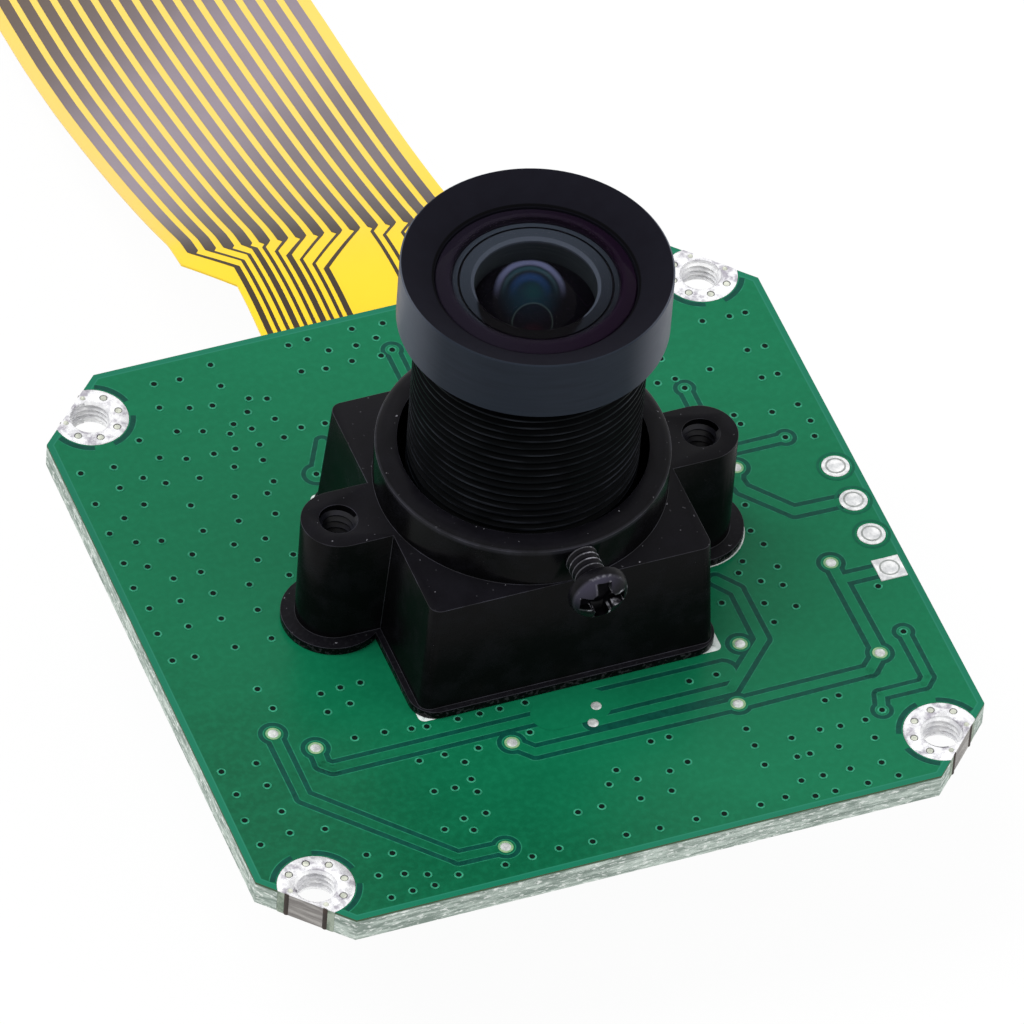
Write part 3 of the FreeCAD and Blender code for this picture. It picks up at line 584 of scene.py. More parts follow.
def lacquer(name, rim=True):
    finish = Finish(name, 0x176B4B, 0.32, Specular_IOR_Level=0.14)
    x, y, z = finish.axes()
    fine = finish.noise(2600, 3, 0.55)
    weave = finish.noise(160, 2, 0.5)
    # Painted shade: the lacquer is darker toward the board's front, most toward its front left.
    shade = (x * 0.8 + y + weave * 0.004).soft_step(-0.024, -0.006)
    ripple = finish.noise(420, 2, 0.5, finish.stretched(0.5, 1.6, 1))
    tone = finish.mix(shade, 0x075034, 0x0A6342)
    tone = finish.mix(ripple.soft_step(0.4, 0.7) * 0.15, tone, 0x10704C)
    tone = finish.mix(fine.soft_step(0.35, 0.75) * 0.25, tone, 0x167652)
    height = fine * 0.35
    if rim:
        cut = (x.size() + y.size()) * SLANT - (BOARD_CUT * SLANT - EDGE) * MM
        edge = x.size().most(y.size()).most(cut)
        bare = edge.soft_step(0.01962, 0.01966)
        line = bare * edge.fade(0.01968, 0.01974)
        tone = finish.mix(bare, tone, 0x166A50)
        tone = finish.mix(line * 0.2, tone, 0x3F8C74)
        normal = finish.node("ShaderNodeTexCoord", {}, {}, "Normal")
        flat = finish.axes(normal)[2].size().soft_step(0.5, 0.6)
        fibre = finish.noise(520, 6, 0.7, finish.stretched(1, 1, 7))
        specks = finish.noise(2200, 3, 0.6, finish.stretched(1, 1, 3)).soft_step(0.54, 0.64)
        side = finish.mix(fibre.soft_step(0.38, 0.64), 0x7C8A82, 0xBCC8C0)
        side = finish.mix(specks * 0.7, side, 0xEEF2EE)
        side = finish.mix((z + 0.0002).soft_step(0, 0.00012), side, 0x3A5A44)
        side = finish.mix((z + 0.00008).soft_step(0, 0.00003) * 0.7, side, 0x4E4A30)
        tone = finish.mix(flat, side, tone)
        height = finish.node("ShaderNodeMix", {"data_type": "FLOAT"}, {0: flat, 2: fibre * 3.0, 3: height})
        finish.set(Roughness=(1.0 - flat) * 0.45 + 0.3)
    finish.set(Base_Color=tone, Normal=finish.bump(height, 0.02 * MM, 0.6))
    return finish


board_finish = lacquer("solder_mask")
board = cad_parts["board"]
board.data.materials.clear()
board_finish.coat(board)

# %% [markdown]
# ## Copper tracks under the lacquer
# A track shows as a pair of dark gaps, because the copper pour stops beside it; their thin pale edges are
# painted highlight on the lacquer's step over the copper's edge.
# Each track is drawn as a stack of round-ended bars: pale, dark, pale again and green on top, a few
# microns apart. A bar starts as a disc; half of its rim is pulled out to the track's length.

# %% Bars and tracks
LAYER_STEP = 0.003
STACK_STEP = 0.00006
layer_parts = [[], [], [], []]
stacks = 0


def bar(a, b, width, z, rim):
    """A flat round-ended bar from a to b in mm; a disc where they are the same."""
    length = math.dist(a, b)
    bpy.ops.mesh.primitive_circle_add(vertices=rim, radius=width / 2 * MM, fill_type="NGON")
    obj = bpy.context.object
    if length:
        select_where(obj, lambda p: p.x > 0)
        bpy.ops.transform.translate(value=(length * MM, 0, 0))
        leave_edit()
        obj.rotation_euler.z = math.atan2(b[1] - a[1], b[0] - a[0])
    obj.location = (a[0] * MM, a[1] * MM, z * MM)
    return obj


def stack(a, b, widths, rim):
    """One bar in each layer; every stack lies a hair above the one before, so that no two coincide."""
    global stacks
    stacks += 1
    for level, width in enumerate(widths):
        height = LAYER_STEP + LAYER_STEP * level + STACK_STEP * stacks
        layer_parts[level].append(bar(a, b, width, height, rim))


def track(points, shift=0.40, middle=0.46):
    """One track: `shift` is the distance of the gaps' middles from its own, `middle` its copper width."""
    widths = (2 * shift + 0.44, 2 * shift + 0.32, middle + 0.1, middle)
    for a, b in zip(points, points[1:]):
        stack(a, b, widths, 20)


def spot(place, radius):
    """A round isolation gap of the given outer radius."""
    stack(place, place, [2 * r for r in (radius + 0.06, radius, radius - 0.24, radius - 0.3)], 28)


TRACKS = [
    [(-15.69, -6.75), (-15.67, -11.32), (-9.6, -17.6), (-7.05, -17.67)],
    [(-13.95, -8.35), (-14.0, -9.5), (-13.6, -9.9), (-2.3, -9.9)],
    [(0.24, -11.08), (7.9, -11.04), (10.67, -8.3), (10.67, -4.7), (9.9, -3.7)],
    [(-4.22, -11.09), (-3.3, -12.05), (7.84, -12.14), (15.2, -12.05), (16.15, -11.08), (16.07, -4.4)],
    [(16.1, -5.65), (18.85, -5.67)],
    [(13.83, 3.45), (13.5, 2.6), (13.6, 1.9), (15.6, -0.4), (18.85, -0.5)],
]
SLIM_TRACKS = [
    [(17.87, -10.07), (17.88, -13.4), (17.5, -13.8), (15.1, -13.8), (14.77, -14.83)],
    [(13.34, 9.63), (13.34, 2.4)],
    [(17.1, 4.69), (14.3, 4.69)],
    [(-7.29, 9.71), (-6.2, 11.8)],
    [(-0.39, 16.93), (-0.39, 14.0)],
]
TEST_POINTS = [
    (-15.69, -6.75), (-13.95, -8.35), (-4.22, -11.09), (-7.05, -17.67), (9.46, -8.27),
    (7.84, -12.14), (16.07, -4.4), (16.15, -11.08), (13.83, 3.45),
]
BARE_POINTS = [(0.81, -10.03), (0.24, -11.08)]
track([(0.4, -9.84), (7.9, -9.84)], 0.81, 1.28)
for points in TRACKS:
    track(points)
for points in SLIM_TRACKS:
    track(points, 0.32, 0.34)
for place in TEST_POINTS:
    spot(place, 0.78)
for x, y in ((17.87, -10.07), (14.77, -14.83), (13.34, 9.63), (17.1, 4.69), (-0.39, 16.93)):
    spot((x, y), 0.62)
spot((-7.29, 9.71), 0.8)
layer_parts[3].append(bar((-1.6, -9.87), (0.6, -9.84), 2.2, 0.0175, 20))
print("stacks of bars:", stacks)

# %% [markdown]
# The bars of one layer become one piece. The green layer shares the lacquer's recipe, so that it can't
# be told from the board around it.

# %% Track layers
# The pale layers are painted highlight along the copper's edges; the dark gaps are the lacquer's own
# colour.
edge_highlight = two_tone("pale_edge", 0x0E6244, 0x26785A, 0.35, 3000, Specular_IOR_Level=0.14)
gap_green = two_tone("gap_green", 0x053A30, 0x08463A, 0.3, 2500, Specular_IOR_Level=0.14)
mask_patch = lacquer("solder_mask_patch", rim=False)
for level, finish in enumerate((edge_highlight, gap_green, edge_highlight, mask_patch)):
    piece = settle(joined(layer_parts[level]), f"tracks_{level + 1}")
    finish.coat(piece)
    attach(piece, "module")
    print(piece.name, len(piece.data.polygons), "faces")

# %% [markdown]
# ## Plated holes
# Some two hundred small holes join the board's layers. Two shapes are made once, a low rim and the
# dark mouth inside it, a near-black disc that paints the shade down the hole, and both are copied to
# every place.

# %% Plated holes
HOLES = """
-18.9 -0.4, -17.7 -0.5, -15.5 -0.5, -13.5 -0.5, -15.4 -3.6, -15.1 -5.1, -12.4 -4.9, -11.3 -4.8, -10.2 -4.8,
-12.5 -6.2, -11.2 -6.0, -19.1 -8.4, -17.2 -8.4, -11.8 -8.3, -10.2 -8.4, -8.8 -8.6, -8.0 -8.7, -6.3 -8.7,
-5.1 -8.7, -4.0 -8.7, -2.6 -8.7, -18.9 -10.1, -17.2 -10.0, -9.2 -10.8, -7.8 -10.8, -6.0 -10.9, -3.1 -10.7,
-7.0 -11.6, -19.1 -11.9, -17.1 -11.9, -9.2 -13.0, -8.1 -13.1, -7.1 -12.8, -7.1 -13.7, -18.9 -13.7,
-17.2 -13.4, -15.4 -13.7, -8.4 -15.2, -7.2 -15.2, -9.6 -15.6, -8.2 -16.1, -14.0 -16.0, -12.7 -16.3,
-13.9 -17.5, -12.6 -17.8, -11.5 -18.2, -13.8 -19.1, -12.6 -19.0, -11.4 -19.0, -10.0 -18.7, -7.5 -18.8,
-6.0 -18.7, -4.5 -18.6, -2.7 -18.7, -0.9 -18.8, -0.5 -15.3, -2.7 -16.6, -1.4 -16.6,
12.9 -1.0, 13.2 -2.1, 11.7 -2.9, 11.2 -3.6, 13.3 -3.8, 12.1 -4.5, 13.1 -5.1, 9.6 -5.3, 11.7 -6.0,
13.2 -6.7, 11.7 -7.4, 17.8 -6.7, 6.0 -9.9, 7.5 -9.9, 2.6 -13.2, 3.6 -13.2, 12.2 -13.3, 13.0 -13.2,
7.6 -13.9, 0.2 -14.5, 3.9 -15.1, 2.8 -15.4, 1.0 -15.4, 7.6 -15.1, 9.6 -15.2, 11.2 -15.1, 12.3 -15.2,
13.7 -15.2, 0.7 -16.7, 2.4 -16.7, 7.6 -16.5, 9.4 -16.5, 10.1 -16.5, 11.7 -16.5, 13.7 -16.5, 9.0 -18.1,
10.2 -18.1, 11.7 -18.1, 13.4 -18.2, 0.9 -18.9, 2.9 -18.9, 4.4 -19.0, 6.4 -19.0, 7.8 -18.9, 9.3 -19.3,
10.4 -19.3, 12.2 -19.3, 13.9 -19.3, 17.87 -10.07, 14.77 -14.83,
-13.2 18.4, -11.8 18.3, -9.9 18.8, -13.5 16.7, -9.9 17.2, -12.0 16.2, -10.8 16.0, -8.8 15.9, -7.9 15.6,
-9.2 15.0, -15.3 14.8, -13.2 14.8, -11.9 14.4, -10.2 14.4, -8.0 14.1, -10.6 13.8, -9.4 13.8, -19.0 13.5,
-17.2 13.4, -14.7 13.3, -13.4 12.8, -11.9 12.7, -10.7 12.7, -9.4 12.6, -8.0 12.7, -6.9 13.1, -5.6 13.0,
-16.0 12.2, -17.4 11.9, -15.0 11.5, -13.2 11.3, -11.2 11.5, -9.6 11.5, -19.0 11.2, -16.6 10.4, -17.9 9.8,
-14.3 9.6, -11.9 9.5, -9.6 9.9, -10.2 9.2, -19.0 9.0, -17.9 8.0, -16.6 7.7, -14.3 7.7, -12.3 7.8,
-10.3 7.7, -19.0 6.8, -17.9 6.2, -15.4 6.3, -13.1 6.3, -11.4 6.2, -19.1 5.0, -16.9 5.0, -15.4 5.0,
-12.3 4.9, -10.4 4.7, -18.8 3.4, -17.1 3.4, -15.3 3.4, -13.3 3.4, -11.1 3.4, -19.0 1.6, -17.3 1.6,
-15.5 1.6, -13.5 1.6, -5.5 18.9, -4.4 19.0, -1.9 19.0, -0.2 18.9, -3.6 17.9, -2.1 17.8, -0.9 18.0,
-5.5 16.9, -4.2 16.7, -2.7 16.8, -1.1 16.7, -0.39 16.93, -7.29 9.71,
16.0 13.9, 17.5 13.8, 18.4 13.8, 12.9 12.0, 17.5 11.2, 18.5 11.2, 12.1 10.4, 13.1 10.4, 15.1 10.5,
13.34 9.63, 17.5 9.1, 18.4 9.1, 15.1 7.0, 15.2 6.3, 17.1 6.6, 18.6 6.7, 18.8 5.4, 18.6 4.3, 17.1 4.69,
13.3 0.8
"""
hole_places = [(*(float(v) for v in pair.split()), 0) for pair in HOLES.split(",")]

rim = turned([(0.145, 0.016), (0.165, 0.03), (0.215, 0.03), (0.25, 0.014)], 12)
rims = settle(copies(rim, hole_places), "hole_rims", 60)
rim_finish = two_tone("tented_rim", 0x14664A, 0x3A9474, 0.32, 3000, Specular_IOR_Level=0.14)
rim_finish.coat(rims)
mouth = turned([(0, 0.0175), (0.1, 0.018), (0.155, 0.026)], 12)
mouths = settle(copies(mouth, hole_places), "hole_mouths", 60)
# Painted shade: the mouth is near black where the hole's depth is dark.
hole_shade = two_tone("hole_shade", 0x04100C, 0x0A1A14, 0.6, 3000, Specular_IOR_Level=0.1)
hole_shade.coat(mouths)
for piece in (rims, mouths):
    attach(piece, "module")
print("plated holes:", len(hole_places))

# %% [markdown]
# ## Test points
# A test point is a small bump of tin in its own gap, with a thin yellowish ring of bare base round it.

# %% Test points
bump = turned([(0, 0.05), (0.1, 0.075), (0.2, 0.06), (0.27, 0.03), (0.29, 0.012)], 20)
points = settle(copies(bump, [(x, y, 0) for x, y in TEST_POINTS + BARE_POINTS]), "test_points", 60)
tin_finish = two_tone("tin_white", 0xD9DCDA, 0xA8ACAC, 0.35, 2600, 0.4, 0.03, Metallic=0.4)
tin_finish.coat(points)
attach(points, "module")
ring_shape = turned([(0.27, 0.021), (0.4, 0.021)], 20)
bare_rings = settle(copies(ring_shape, [(x, y, 0) for x, y in TEST_POINTS]), "test_rings", 60)
two_tone("bare_base", 0x4E8A5E, 0x8FA87E, 0.4, 2600, 0.5).coat(bare_rings)
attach(bare_rings, "module")

# %% [markdown]
# ## White print
# The printed outline of the holder's foot is a plain line: a square with rounded corners and an arc at
# each screw boss. It peeks out beside the foot. The square is a plane, bevelled at its corners, inset
# and opened.

# %% White print
bpy.ops.mesh.primitive_plane_add(size=16.7 * MM, location=(0.13 * MM, 0, 0.012 * MM))
outline = bpy.context.object
bpy.ops.object.mode_set(mode="EDIT")
bpy.ops.mesh.select_all(action="SELECT")
bpy.ops.mesh.bevel(offset=0.35 * MM, segments=5, affect="VERTICES")
bpy.ops.mesh.select_all(action="SELECT")
bpy.ops.mesh.inset(thickness=0.4 * MM)
bpy.ops.mesh.delete(type="FACE")
leave_edit()
print_parts = [outline]
for x, outer in ((-10, 2.67), (10, 2.77)):
    arc = turned([(2.5, 0.0125), (outer, 0.0125)], 48)
    arc.location.x = x * MM
    print_parts.append(arc)
white_print = settle(joined(print_parts), "white_print")
print_finish = two_tone("white_ink", 0xE2E8E6, 0xB9C6C2, 0.6, 2200, 0.5, 0.01)
print_finish.coat(white_print)
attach(white_print, "module")

# %% [markdown]
# ## Corner eyelets
# Each corner hole has a tinned ring with small filled holes round it. The corner cut opens two of them
# into notches and takes away the one that points outward. The ring is turned, the small holes are cut
# with a boolean, and the corner is sliced off.

# %% Corner eyelets
CORNER = 17.15
NOTCH = 1.53
NOTCH_ANGLES = [math.radians(45 * step) for step in range(3, 8)]
NOTCH_PLACES = [(NOTCH * math.cos(angle), NOTCH * math.sin(angle), 0) for angle in NOTCH_ANGLES]
EYELET = [
    (1.1, 0.0), (1.16, 0.05), (1.94, 0.05), (2.0, 0.0), (2.0, -1.5),
    (1.94, -1.55), (1.16, -1.55), (1.1, -1.5), (1.1, 0.0),
]
body = turned(EYELET, 48)
bpy.ops.mesh.primitive_cylinder_add(vertices=16, radius=0.22 * MM, depth=0.5 * MM)
carve(body, copies(bpy.context.object, NOTCH_PLACES))
outward = (BOARD_CUT - 2 * CORNER) / 2
BLOCK = 8
bpy.ops.mesh.primitive_cube_add(size=BLOCK * MM)
corner_block = bpy.context.object
corner_block.rotation_euler.z = math.pi / 4
block_middle = (outward + BLOCK / 2 * SLANT) * MM
corner_block.location = (block_middle, block_middle, 0)
carve(body, corner_block)


def cut_place(across, inset, z=0):
    """A place `across` mm along the slanted cut from its middle, moved back by `inset` in X and Y."""
    return outward + across * SLANT - inset, outward - across * SLANT - inset, z


plug = turned([(0, 0.055), (0.1, 0.05), (0.165, 0.03), (0.18, -0.1)], 14)
crumb = turned([(0, 0.16), (0.1, 0.12), (0.17, 0.02), (0.18, -0.1)], 10)
crumb_places = [cut_place(-1.0, 0.17), cut_place(1.0, 0.17)]
plugs = settle(joined([copies(plug, NOTCH_PLACES), copies(crumb, crumb_places)]), "plugs", 60)

# %% [markdown]
# Two dark grooves run down the cut side, where the cut opened a small hole. The bore shows a few turns
# of a screw's bite, and short gaps in the copper lie round the ring, with spokes between them.

# %% Grooves, bore and gaps
GROOVE_ACROSS, GROOVE_INSET, GROOVE_Z = 1.08, 0.075, -0.77
bpy.ops.mesh.primitive_cylinder_add(vertices=12, radius=0.17 * MM, depth=1.52 * MM)
groove_places = [cut_place(side * GROOVE_ACROSS, GROOVE_INSET, GROOVE_Z) for side in (-1, 1)]
grooves = settle(copies(bpy.context.object, groove_places), "grooves", 40)
bite = thread(1.12, 0.98, 0.33, 4, 36)
bite.location.z = -1.4 * MM
bite = settle(bite, "bite", 50)
gaps = []
for start, sweep in ((194, 62), (284, 52), (114, 52)):
    for inner, outer, height in ((2.03, 2.42, 0.004), (2.07, 2.36, 0.008)):
        gap = turned([(inner, height), (outer, height)], 18, sweep)
        gap.rotation_euler.z = math.radians(start + sweep)
        gaps.append(gap)
gap_edges = settle(joined(gaps[0::2]), "gap_edges", 40)
gap_floors = settle(joined(gaps[1::2]), "gap_floors", 40)
corner_shapes = {
    "eyelets": body,
    "eyelet_plugs": plugs,
    "eyelet_grooves": grooves,
    "eyelet_bites": bite,
    "eyelet_gap_edges": gap_edges,
    "eyelet_gaps": gap_floors,
}
corner_pieces = {}
for name, shape in corner_shapes.items():
    twins = []
    for quarter in range(4):
        angle = math.radians(90 * quarter)
        pick(shape)
        bpy.ops.object.duplicate()
        twin = bpy.context.object
        twin.rotation_euler.z = angle
        twin.location = Matrix.Rotation(angle, 3, "Z") @ Vector((CORNER * MM, CORNER * MM, 0))
        twins.append(twin)
    bpy.data.objects.remove(shape)
    corner_pieces[name] = settle(joined(twins), name, 40)
    print(name, len(corner_pieces[name].data.polygons), "faces")

# %% [markdown]
# One finish serves the whole eyelet. The flat ring and the bore are bright tin with dull streaks; the bore
# is made near white and matt as a painted reflection of the white floor. On the cut side the middle is
# bare grey-brown metal, and beyond it the board's own fibre shows.

# %% Eyelet finish
eyelet_finish = Finish("tin_eyelet", 0xC9CACC, 0.3, Metallic=0.75)
x, y, z = eyelet_finish.axes()
u = x.size() - CORNER * MM
v = y.size() - CORNER * MM
cloud = eyelet_finish.noise(1500, 5, 0.65)
streaks = eyelet_finish.noise(420, 3, 0.6, eyelet_finish.stretched(1, 1, 9))
tin = eyelet_finish.mix(cloud.soft_step(0.45, 0.66), 0xF0F0F2, 0xA8A4AE)
tin = eyelet_finish.mix(streaks.soft_step(0.6, 0.72) * 0.35, tin, 0x7A7A80)
# Painted reflection: the bore is mixed toward white and loses its metal.
bore = u.reach(v).fade(0.00112, 0.00118) * z.fade(-0.0003, 0.0)
tin = eyelet_finish.mix(bore * 0.75, tin, 0xFCFCFC)
out_by = (u + v) * SLANT
on_cut = out_by.soft_step(0.00119, 0.001196) * z.fade(-0.00004, -0.00002)
middle = ((u - v) * SLANT).size().fade(0.00105, 0.00109)
bare = eyelet_finish.mix(streaks.soft_step(0.35, 0.65), 0x75716E, 0xA19E9A)
side_fibre = eyelet_finish.mix(cloud.soft_step(0.4, 0.6), 0x6C7C6C, 0x98A494)
side = eyelet_finish.mix(middle, side_fibre, bare)
eyelet_finish.set(
    Base_Color=eyelet_finish.mix(on_cut, tin, side),
    Metallic=(1.0 - on_cut) * (1.0 - bore) * 0.45,
    Roughness=cloud * 0.35 + on_cut * 0.3 + 0.12,
    Normal=eyelet_finish.bump(cloud + streaks * 0.6, 0.06 * MM, 0.9),
)
corner_finishes = {
    "eyelets": eyelet_finish,
    "eyelet_plugs": two_tone("plug_pale", 0xD2D4C6, 0xA8ACA0, 0.4, 2500, 0.4, 0.02),
    "eyelet_grooves": two_tone("groove_brown", 0x1E1712, 0x3A2E26, 0.6, 2500, 0.4, 0.02),
    # The bite in the bore is near white as painted reflection too.
    "eyelet_bites": two_tone("bore_tin", 0xF8F8F8, 0xC4C4C8, 0.3, 1500, 0.5, 0.02, Metallic=0.1),
    # The gaps' pale edges round the eyelets are painted highlight too.
    "eyelet_gap_edges": edge_highlight,
    "eyelet_gaps": gap_green,
}
for name, finish in corner_finishes.items():
    piece = corner_pieces[name]
    finish.coat(piece)
    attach(piece, "module")
    "solder_mask" if "gap" in name else "tin_plate"
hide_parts("corner_pads")

# %% [markdown]
# ## Header holes
# Four holes at the right edge are filled with solder: a flat pad and a low dome with a crease between,
# where a grey ring paints the crease's shade.

# %% Header holes
HEADER_X, HEADER_BACK, HEADER_PITCH = 18.85, 1.95, 2.54
HEADER = [(HEADER_X, HEADER_BACK - HEADER_PITCH * step, 0) for step in range(4)]
SOLDER = [(0, 0.07), (0.25, 0.075), (0.44, 0.06), (0.5, 0.04), (0.56, 0.06), (0.7, 0.055), (0.75, 0.02)]
round_pad = turned(SOLDER + [(0.75, -1.5), (0.5, -1.55), (0, -1.6)], 32)
pads = [copies(round_pad, HEADER[:3])]
bpy.ops.mesh.primitive_cube_add(size=1.5 * MM, location=(18.85 * MM, -5.67 * MM, -0.69 * MM))
square_pad = bpy.context.object
finish_with(square_pad, "BEVEL", width=0.04 * MM, segments=2, limit_method="ANGLE")
pads.append(square_pad)
header = settle(joined(pads), "header_solder", 50)
solder_finish = two_tone("solder", 0xF2F2F2, 0xC0C2C4, 0.3, 1700, 0.35, 0.06, Metallic=0.2)
solder_finish.coat(header)
# Painted shade: a flat grey ring laid over the crease.
crease = turned([(0.46, 0.071), (0.55, 0.071)], 32)
creases = settle(copies(crease, HEADER), "header_creases", 50)
two_tone("crease_shade", 0x7E8280, 0xA4A8A6, 0.5, 2500).coat(creases)
moat = turned([(0.88, 0.012), (1.02, 0.012)], 32)
moats = settle(copies(moat, HEADER[:3]), "header_gaps", 50)
two_tone("gap_soft", 0x07503A, 0x0A5A42, 0.3, 2500, Specular_IOR_Level=0.14).coat(moats)
for piece in (creases, moats):
    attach(piece, "module")
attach(header, "module")
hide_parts("header_pads")

# %% [markdown]
# ## Lens holder
# The holder is one moulding. Its CAD mesh is made of triangles, so the copy's flat faces are joined up
# first, and then a small bevel breaks the sharp edges the way a mould does. The bevel gets a finish of
# its own, pale in patches: partly wear, partly painted highlight where the rounded edges catch the light.

# %% [markdown]
# The plastic is black and glossy on the walls. The level tops are satin and a shade lighter, as painted
# light from above. The collar's outer top edge is pale in places as painted highlight, and the foot's edge
# is rough with grey specks.

# %% Holder finish
holder_finish = Finish("holder_plastic", 0x08080B, 0.3, Specular_IOR_Level=0.07)
x, y, z = holder_finish.axes()
radius = x.reach(y)
normal = holder_finish.axes(holder_finish.node("ShaderNodeTexCoord", {}, {}, "Normal"))
level = normal[2].soft_step(0.8, 0.95)
cloud = holder_finish.noise(700, 5, 0.6)
fine = holder_finish.noise(4200, 2, 0.5)
tone = holder_finish.mix(cloud.soft_step(0.4, 0.7), 0x050506, 0x0B0B0E)
# Painted light: the level tops are lifted to a lighter tone.
tone = holder_finish.mix(level * (cloud * 0.6 + 0.3), tone, 0x111015)
# Painted highlight: a patchy pale line along the collar's outer top edge.
rim = radius.soft_step(0.0075, 0.0076) * radius.fade(0.00768, 0.00772)
rim = rim * z.soft_step(0.0095, 0.0097)
tone = holder_finish.mix(rim * (cloud * 0.3), tone, 0x50505A)
specks = fine.soft_step(0.7, 0.76) * level * cloud.fade(0.45, 0.6) * 0.5
tone = holder_finish.mix(specks, tone, 0xA8A8B0)
foot = z.fade(0.0003, 0.00055) * fine.soft_step(0.5, 0.66)
tone = holder_finish.mix(foot * 0.3, tone, 0x55555A)
holder_finish.set(
    Base_Color=tone,
    Roughness=level * 0.18 + cloud * 0.2 + 0.14,
    Normal=holder_finish.bump(cloud * 0.5 + fine * 0.3 + foot, 0.02 * MM, 0.5),
)
# The bevel's pale patches are partly wear and partly painted highlight.
wear_and_edge_highlight = two_tone("bevel_wear_and_highlight", 0x08080B, 0x2E2E36, 0.35, 700, 0.4, Specular_IOR_Level=0.2)

# %% Lens holder
holder = bpy.data.objects.new("holder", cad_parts["lens_holder"].data.copy())
bpy.context.scene.collection.objects.link(holder)
pick(holder)
bpy.ops.object.mode_set(mode="EDIT")
bpy.ops.mesh.select_all(action="SELECT")
bpy.ops.mesh.remove_doubles(threshold=1e-6)
bpy.ops.mesh.dissolve_limited(angle_limit=math.radians(1))
leave_edit()
holder.data.materials.clear()
holder_finish.coat(holder)
wear_and_edge_highlight.coat(holder)
sharp = {"limit_method": "ANGLE", "angle_limit": 0.6}
finish_with(holder, "BEVEL", width=0.07 * MM, segments=2, material=1, **sharp)
holder = settle(holder, "holder", 35)
print("holder:", len(holder.data.polygons), "faces")
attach(holder, "module")
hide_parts("lens_holder")

# %% [markdown]
# ## Boss threads
# The two screw bosses are threaded inside. Their ridges catch a little light in the black holes.

# %% Boss threads
boss_threads = []
for x in (-10, 10):
    ridges = thread(1.02, 0.82, 0.45, 9, 28)
    ridges.location = (x * MM, 0, 3.1 * MM)
    boss_threads.append(ridges)
boss_threads = settle(joined(boss_threads), "boss_threads", 40)
boss_finish = two_tone("boss_plastic", 0x0E0E12, 0x202028, 0.3, 1200, Specular_IOR_Level=0.25)
boss_finish.coat(boss_threads)
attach(boss_threads, "module")

# %% [markdown]
# ## Lock screw
# The screw is modelled upright and laid down at the end. Its head is a low dome on a short cone, and a
# cross of two boxes and a round pit are cut from it.

# %% Lock screw
LOCK_X, LOCK_Y, LOCK_Z = 0.35, -9.65, 8.85
HEAD = [
    (0, 1.27), (0.5, 1.24), (0.95, 1.12), (1.3, 0.92), (1.52, 0.66), (1.6, 0.38), (1.58, 0.18),
    (1.45, 0.06), (0.84, 0.0), (0.7, 0.0), (0.7, -2.9), (0, -2.9),
]
head = turned(HEAD, 56)
blades = []
for angle in (-0.08, math.pi / 2 - 0.08):
    bpy.ops.mesh.primitive_cube_add(size=1, location=(0, 0, 1.2 * MM))
    blade = bpy.context.object
    blade.scale = (2.4 * MM, 0.74 * MM, 1.6 * MM)
    blade.rotation_euler.z = angle
    blades.append(blade)
pit = (0, 0, 1.1 * MM)
bpy.ops.mesh.primitive_cylinder_add(vertices=24, radius=0.72 * MM, depth=1.8 * MM, location=pit)
for tool in (*blades, bpy.context.object):
    carve(head, tool)
finish_with(head, "BEVEL", width=0.05 * MM, segments=2, limit_method="ANGLE", angle_limit=0.8)
coil = thread(0.68, 0.86, 0.4, 7, 36)
coil.location.z = -2.9 * MM
lock = joined([head, coil])
lock.rotation_euler.x = math.pi / 2
lock.location = (LOCK_X * MM, LOCK_Y * MM, LOCK_Z * MM)
lock = settle(lock, "lock_screw_turned", 40)
lock_finish = two_tone("black_steel", 0x09090B, 0x131217, 0.3, 1500, 0.5, 0.03, Specular_IOR_Level=0.09)
x, y, z = lock_finish.axes()
right, up = x - LOCK_X * MM, z - LOCK_Z * MM
aside, above = right.size(), up.size()
axis_away = right.reach(up)
front_side = y.fade(-0.01045, -0.01025)
lip = 0.07 * MM - (aside.least(above) - 0.39 * MM).size()
wear_and_glint_noise = lock_finish.noise(1300, 5, 0.7).soft_step(0.5, 0.58)
# Wear and painted highlight: the cross's edges are pale with both, and the head's round edge is pale as
# painted highlight.
wear_and_edge_highlight = lip.soft_step(0, 0.00004) * aside.most(above).fade(0.00118, 0.00128) * front_side
round_edge_highlight = axis_away.soft_step(0.00138, 0.0015) * front_side
wear_and_edge_highlight = wear_and_edge_highlight.most(round_edge_highlight * 0.5) * (wear_and_glint_noise * 0.9 + 0.1)
# Painted highlight: thin pale lines on the thread's tips.
crest_highlights = axis_away.soft_step(0.00083, 0.00086) * y.soft_step(-0.0095, -0.00945) * (wear_and_glint_noise * 0.6 + 0.2)
# Painted light: the head's upper left is lighter.
lit = (up - right * 0.6).soft_step(-0.0002, 0.0018) * front_side
tone = lock_finish.mix(lit * 0.8, lock_finish.tone, 0x3A3846)
# Painted shade: the cross and the pit are near black inside.
inside = aside.least(above).fade(0.00034, 0.00036) * front_side
inside = inside * aside.most(above).fade(0.00119, 0.00122)
tone = lock_finish.mix(inside, tone, 0x020203)
lock_finish.set(Base_Color=lock_finish.mix(wear_and_edge_highlight.most(crest_highlights), tone, 0xA0A0A8))
lock_finish.coat(lock)
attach(lock, "lock_screw")
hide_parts("lock_screw")

# %% [markdown]
# ## Directions of the picture
# Some light on the lens depends on where a place stands in the picture, so three functions turn a place
# on the object into the picture's right, its depth and its height over the middle of the ring's top.

# %% Directions of the picture
RING_TOP = 21.62
HEIGHT_OF_AWAY, HEIGHT_OF_Z = 731.6, 682


def picture_right(x, y):
    return x * 0.936 - y * 0.352


def picture_away(x, y):
    return x * 0.305 + y * 0.952


def picture_up(x, y, z):
    """The height in the picture, in mm, of a place given in metres."""
    return picture_away(x, y) * HEIGHT_OF_AWAY + (z - RING_TOP * MM) * HEIGHT_OF_Z


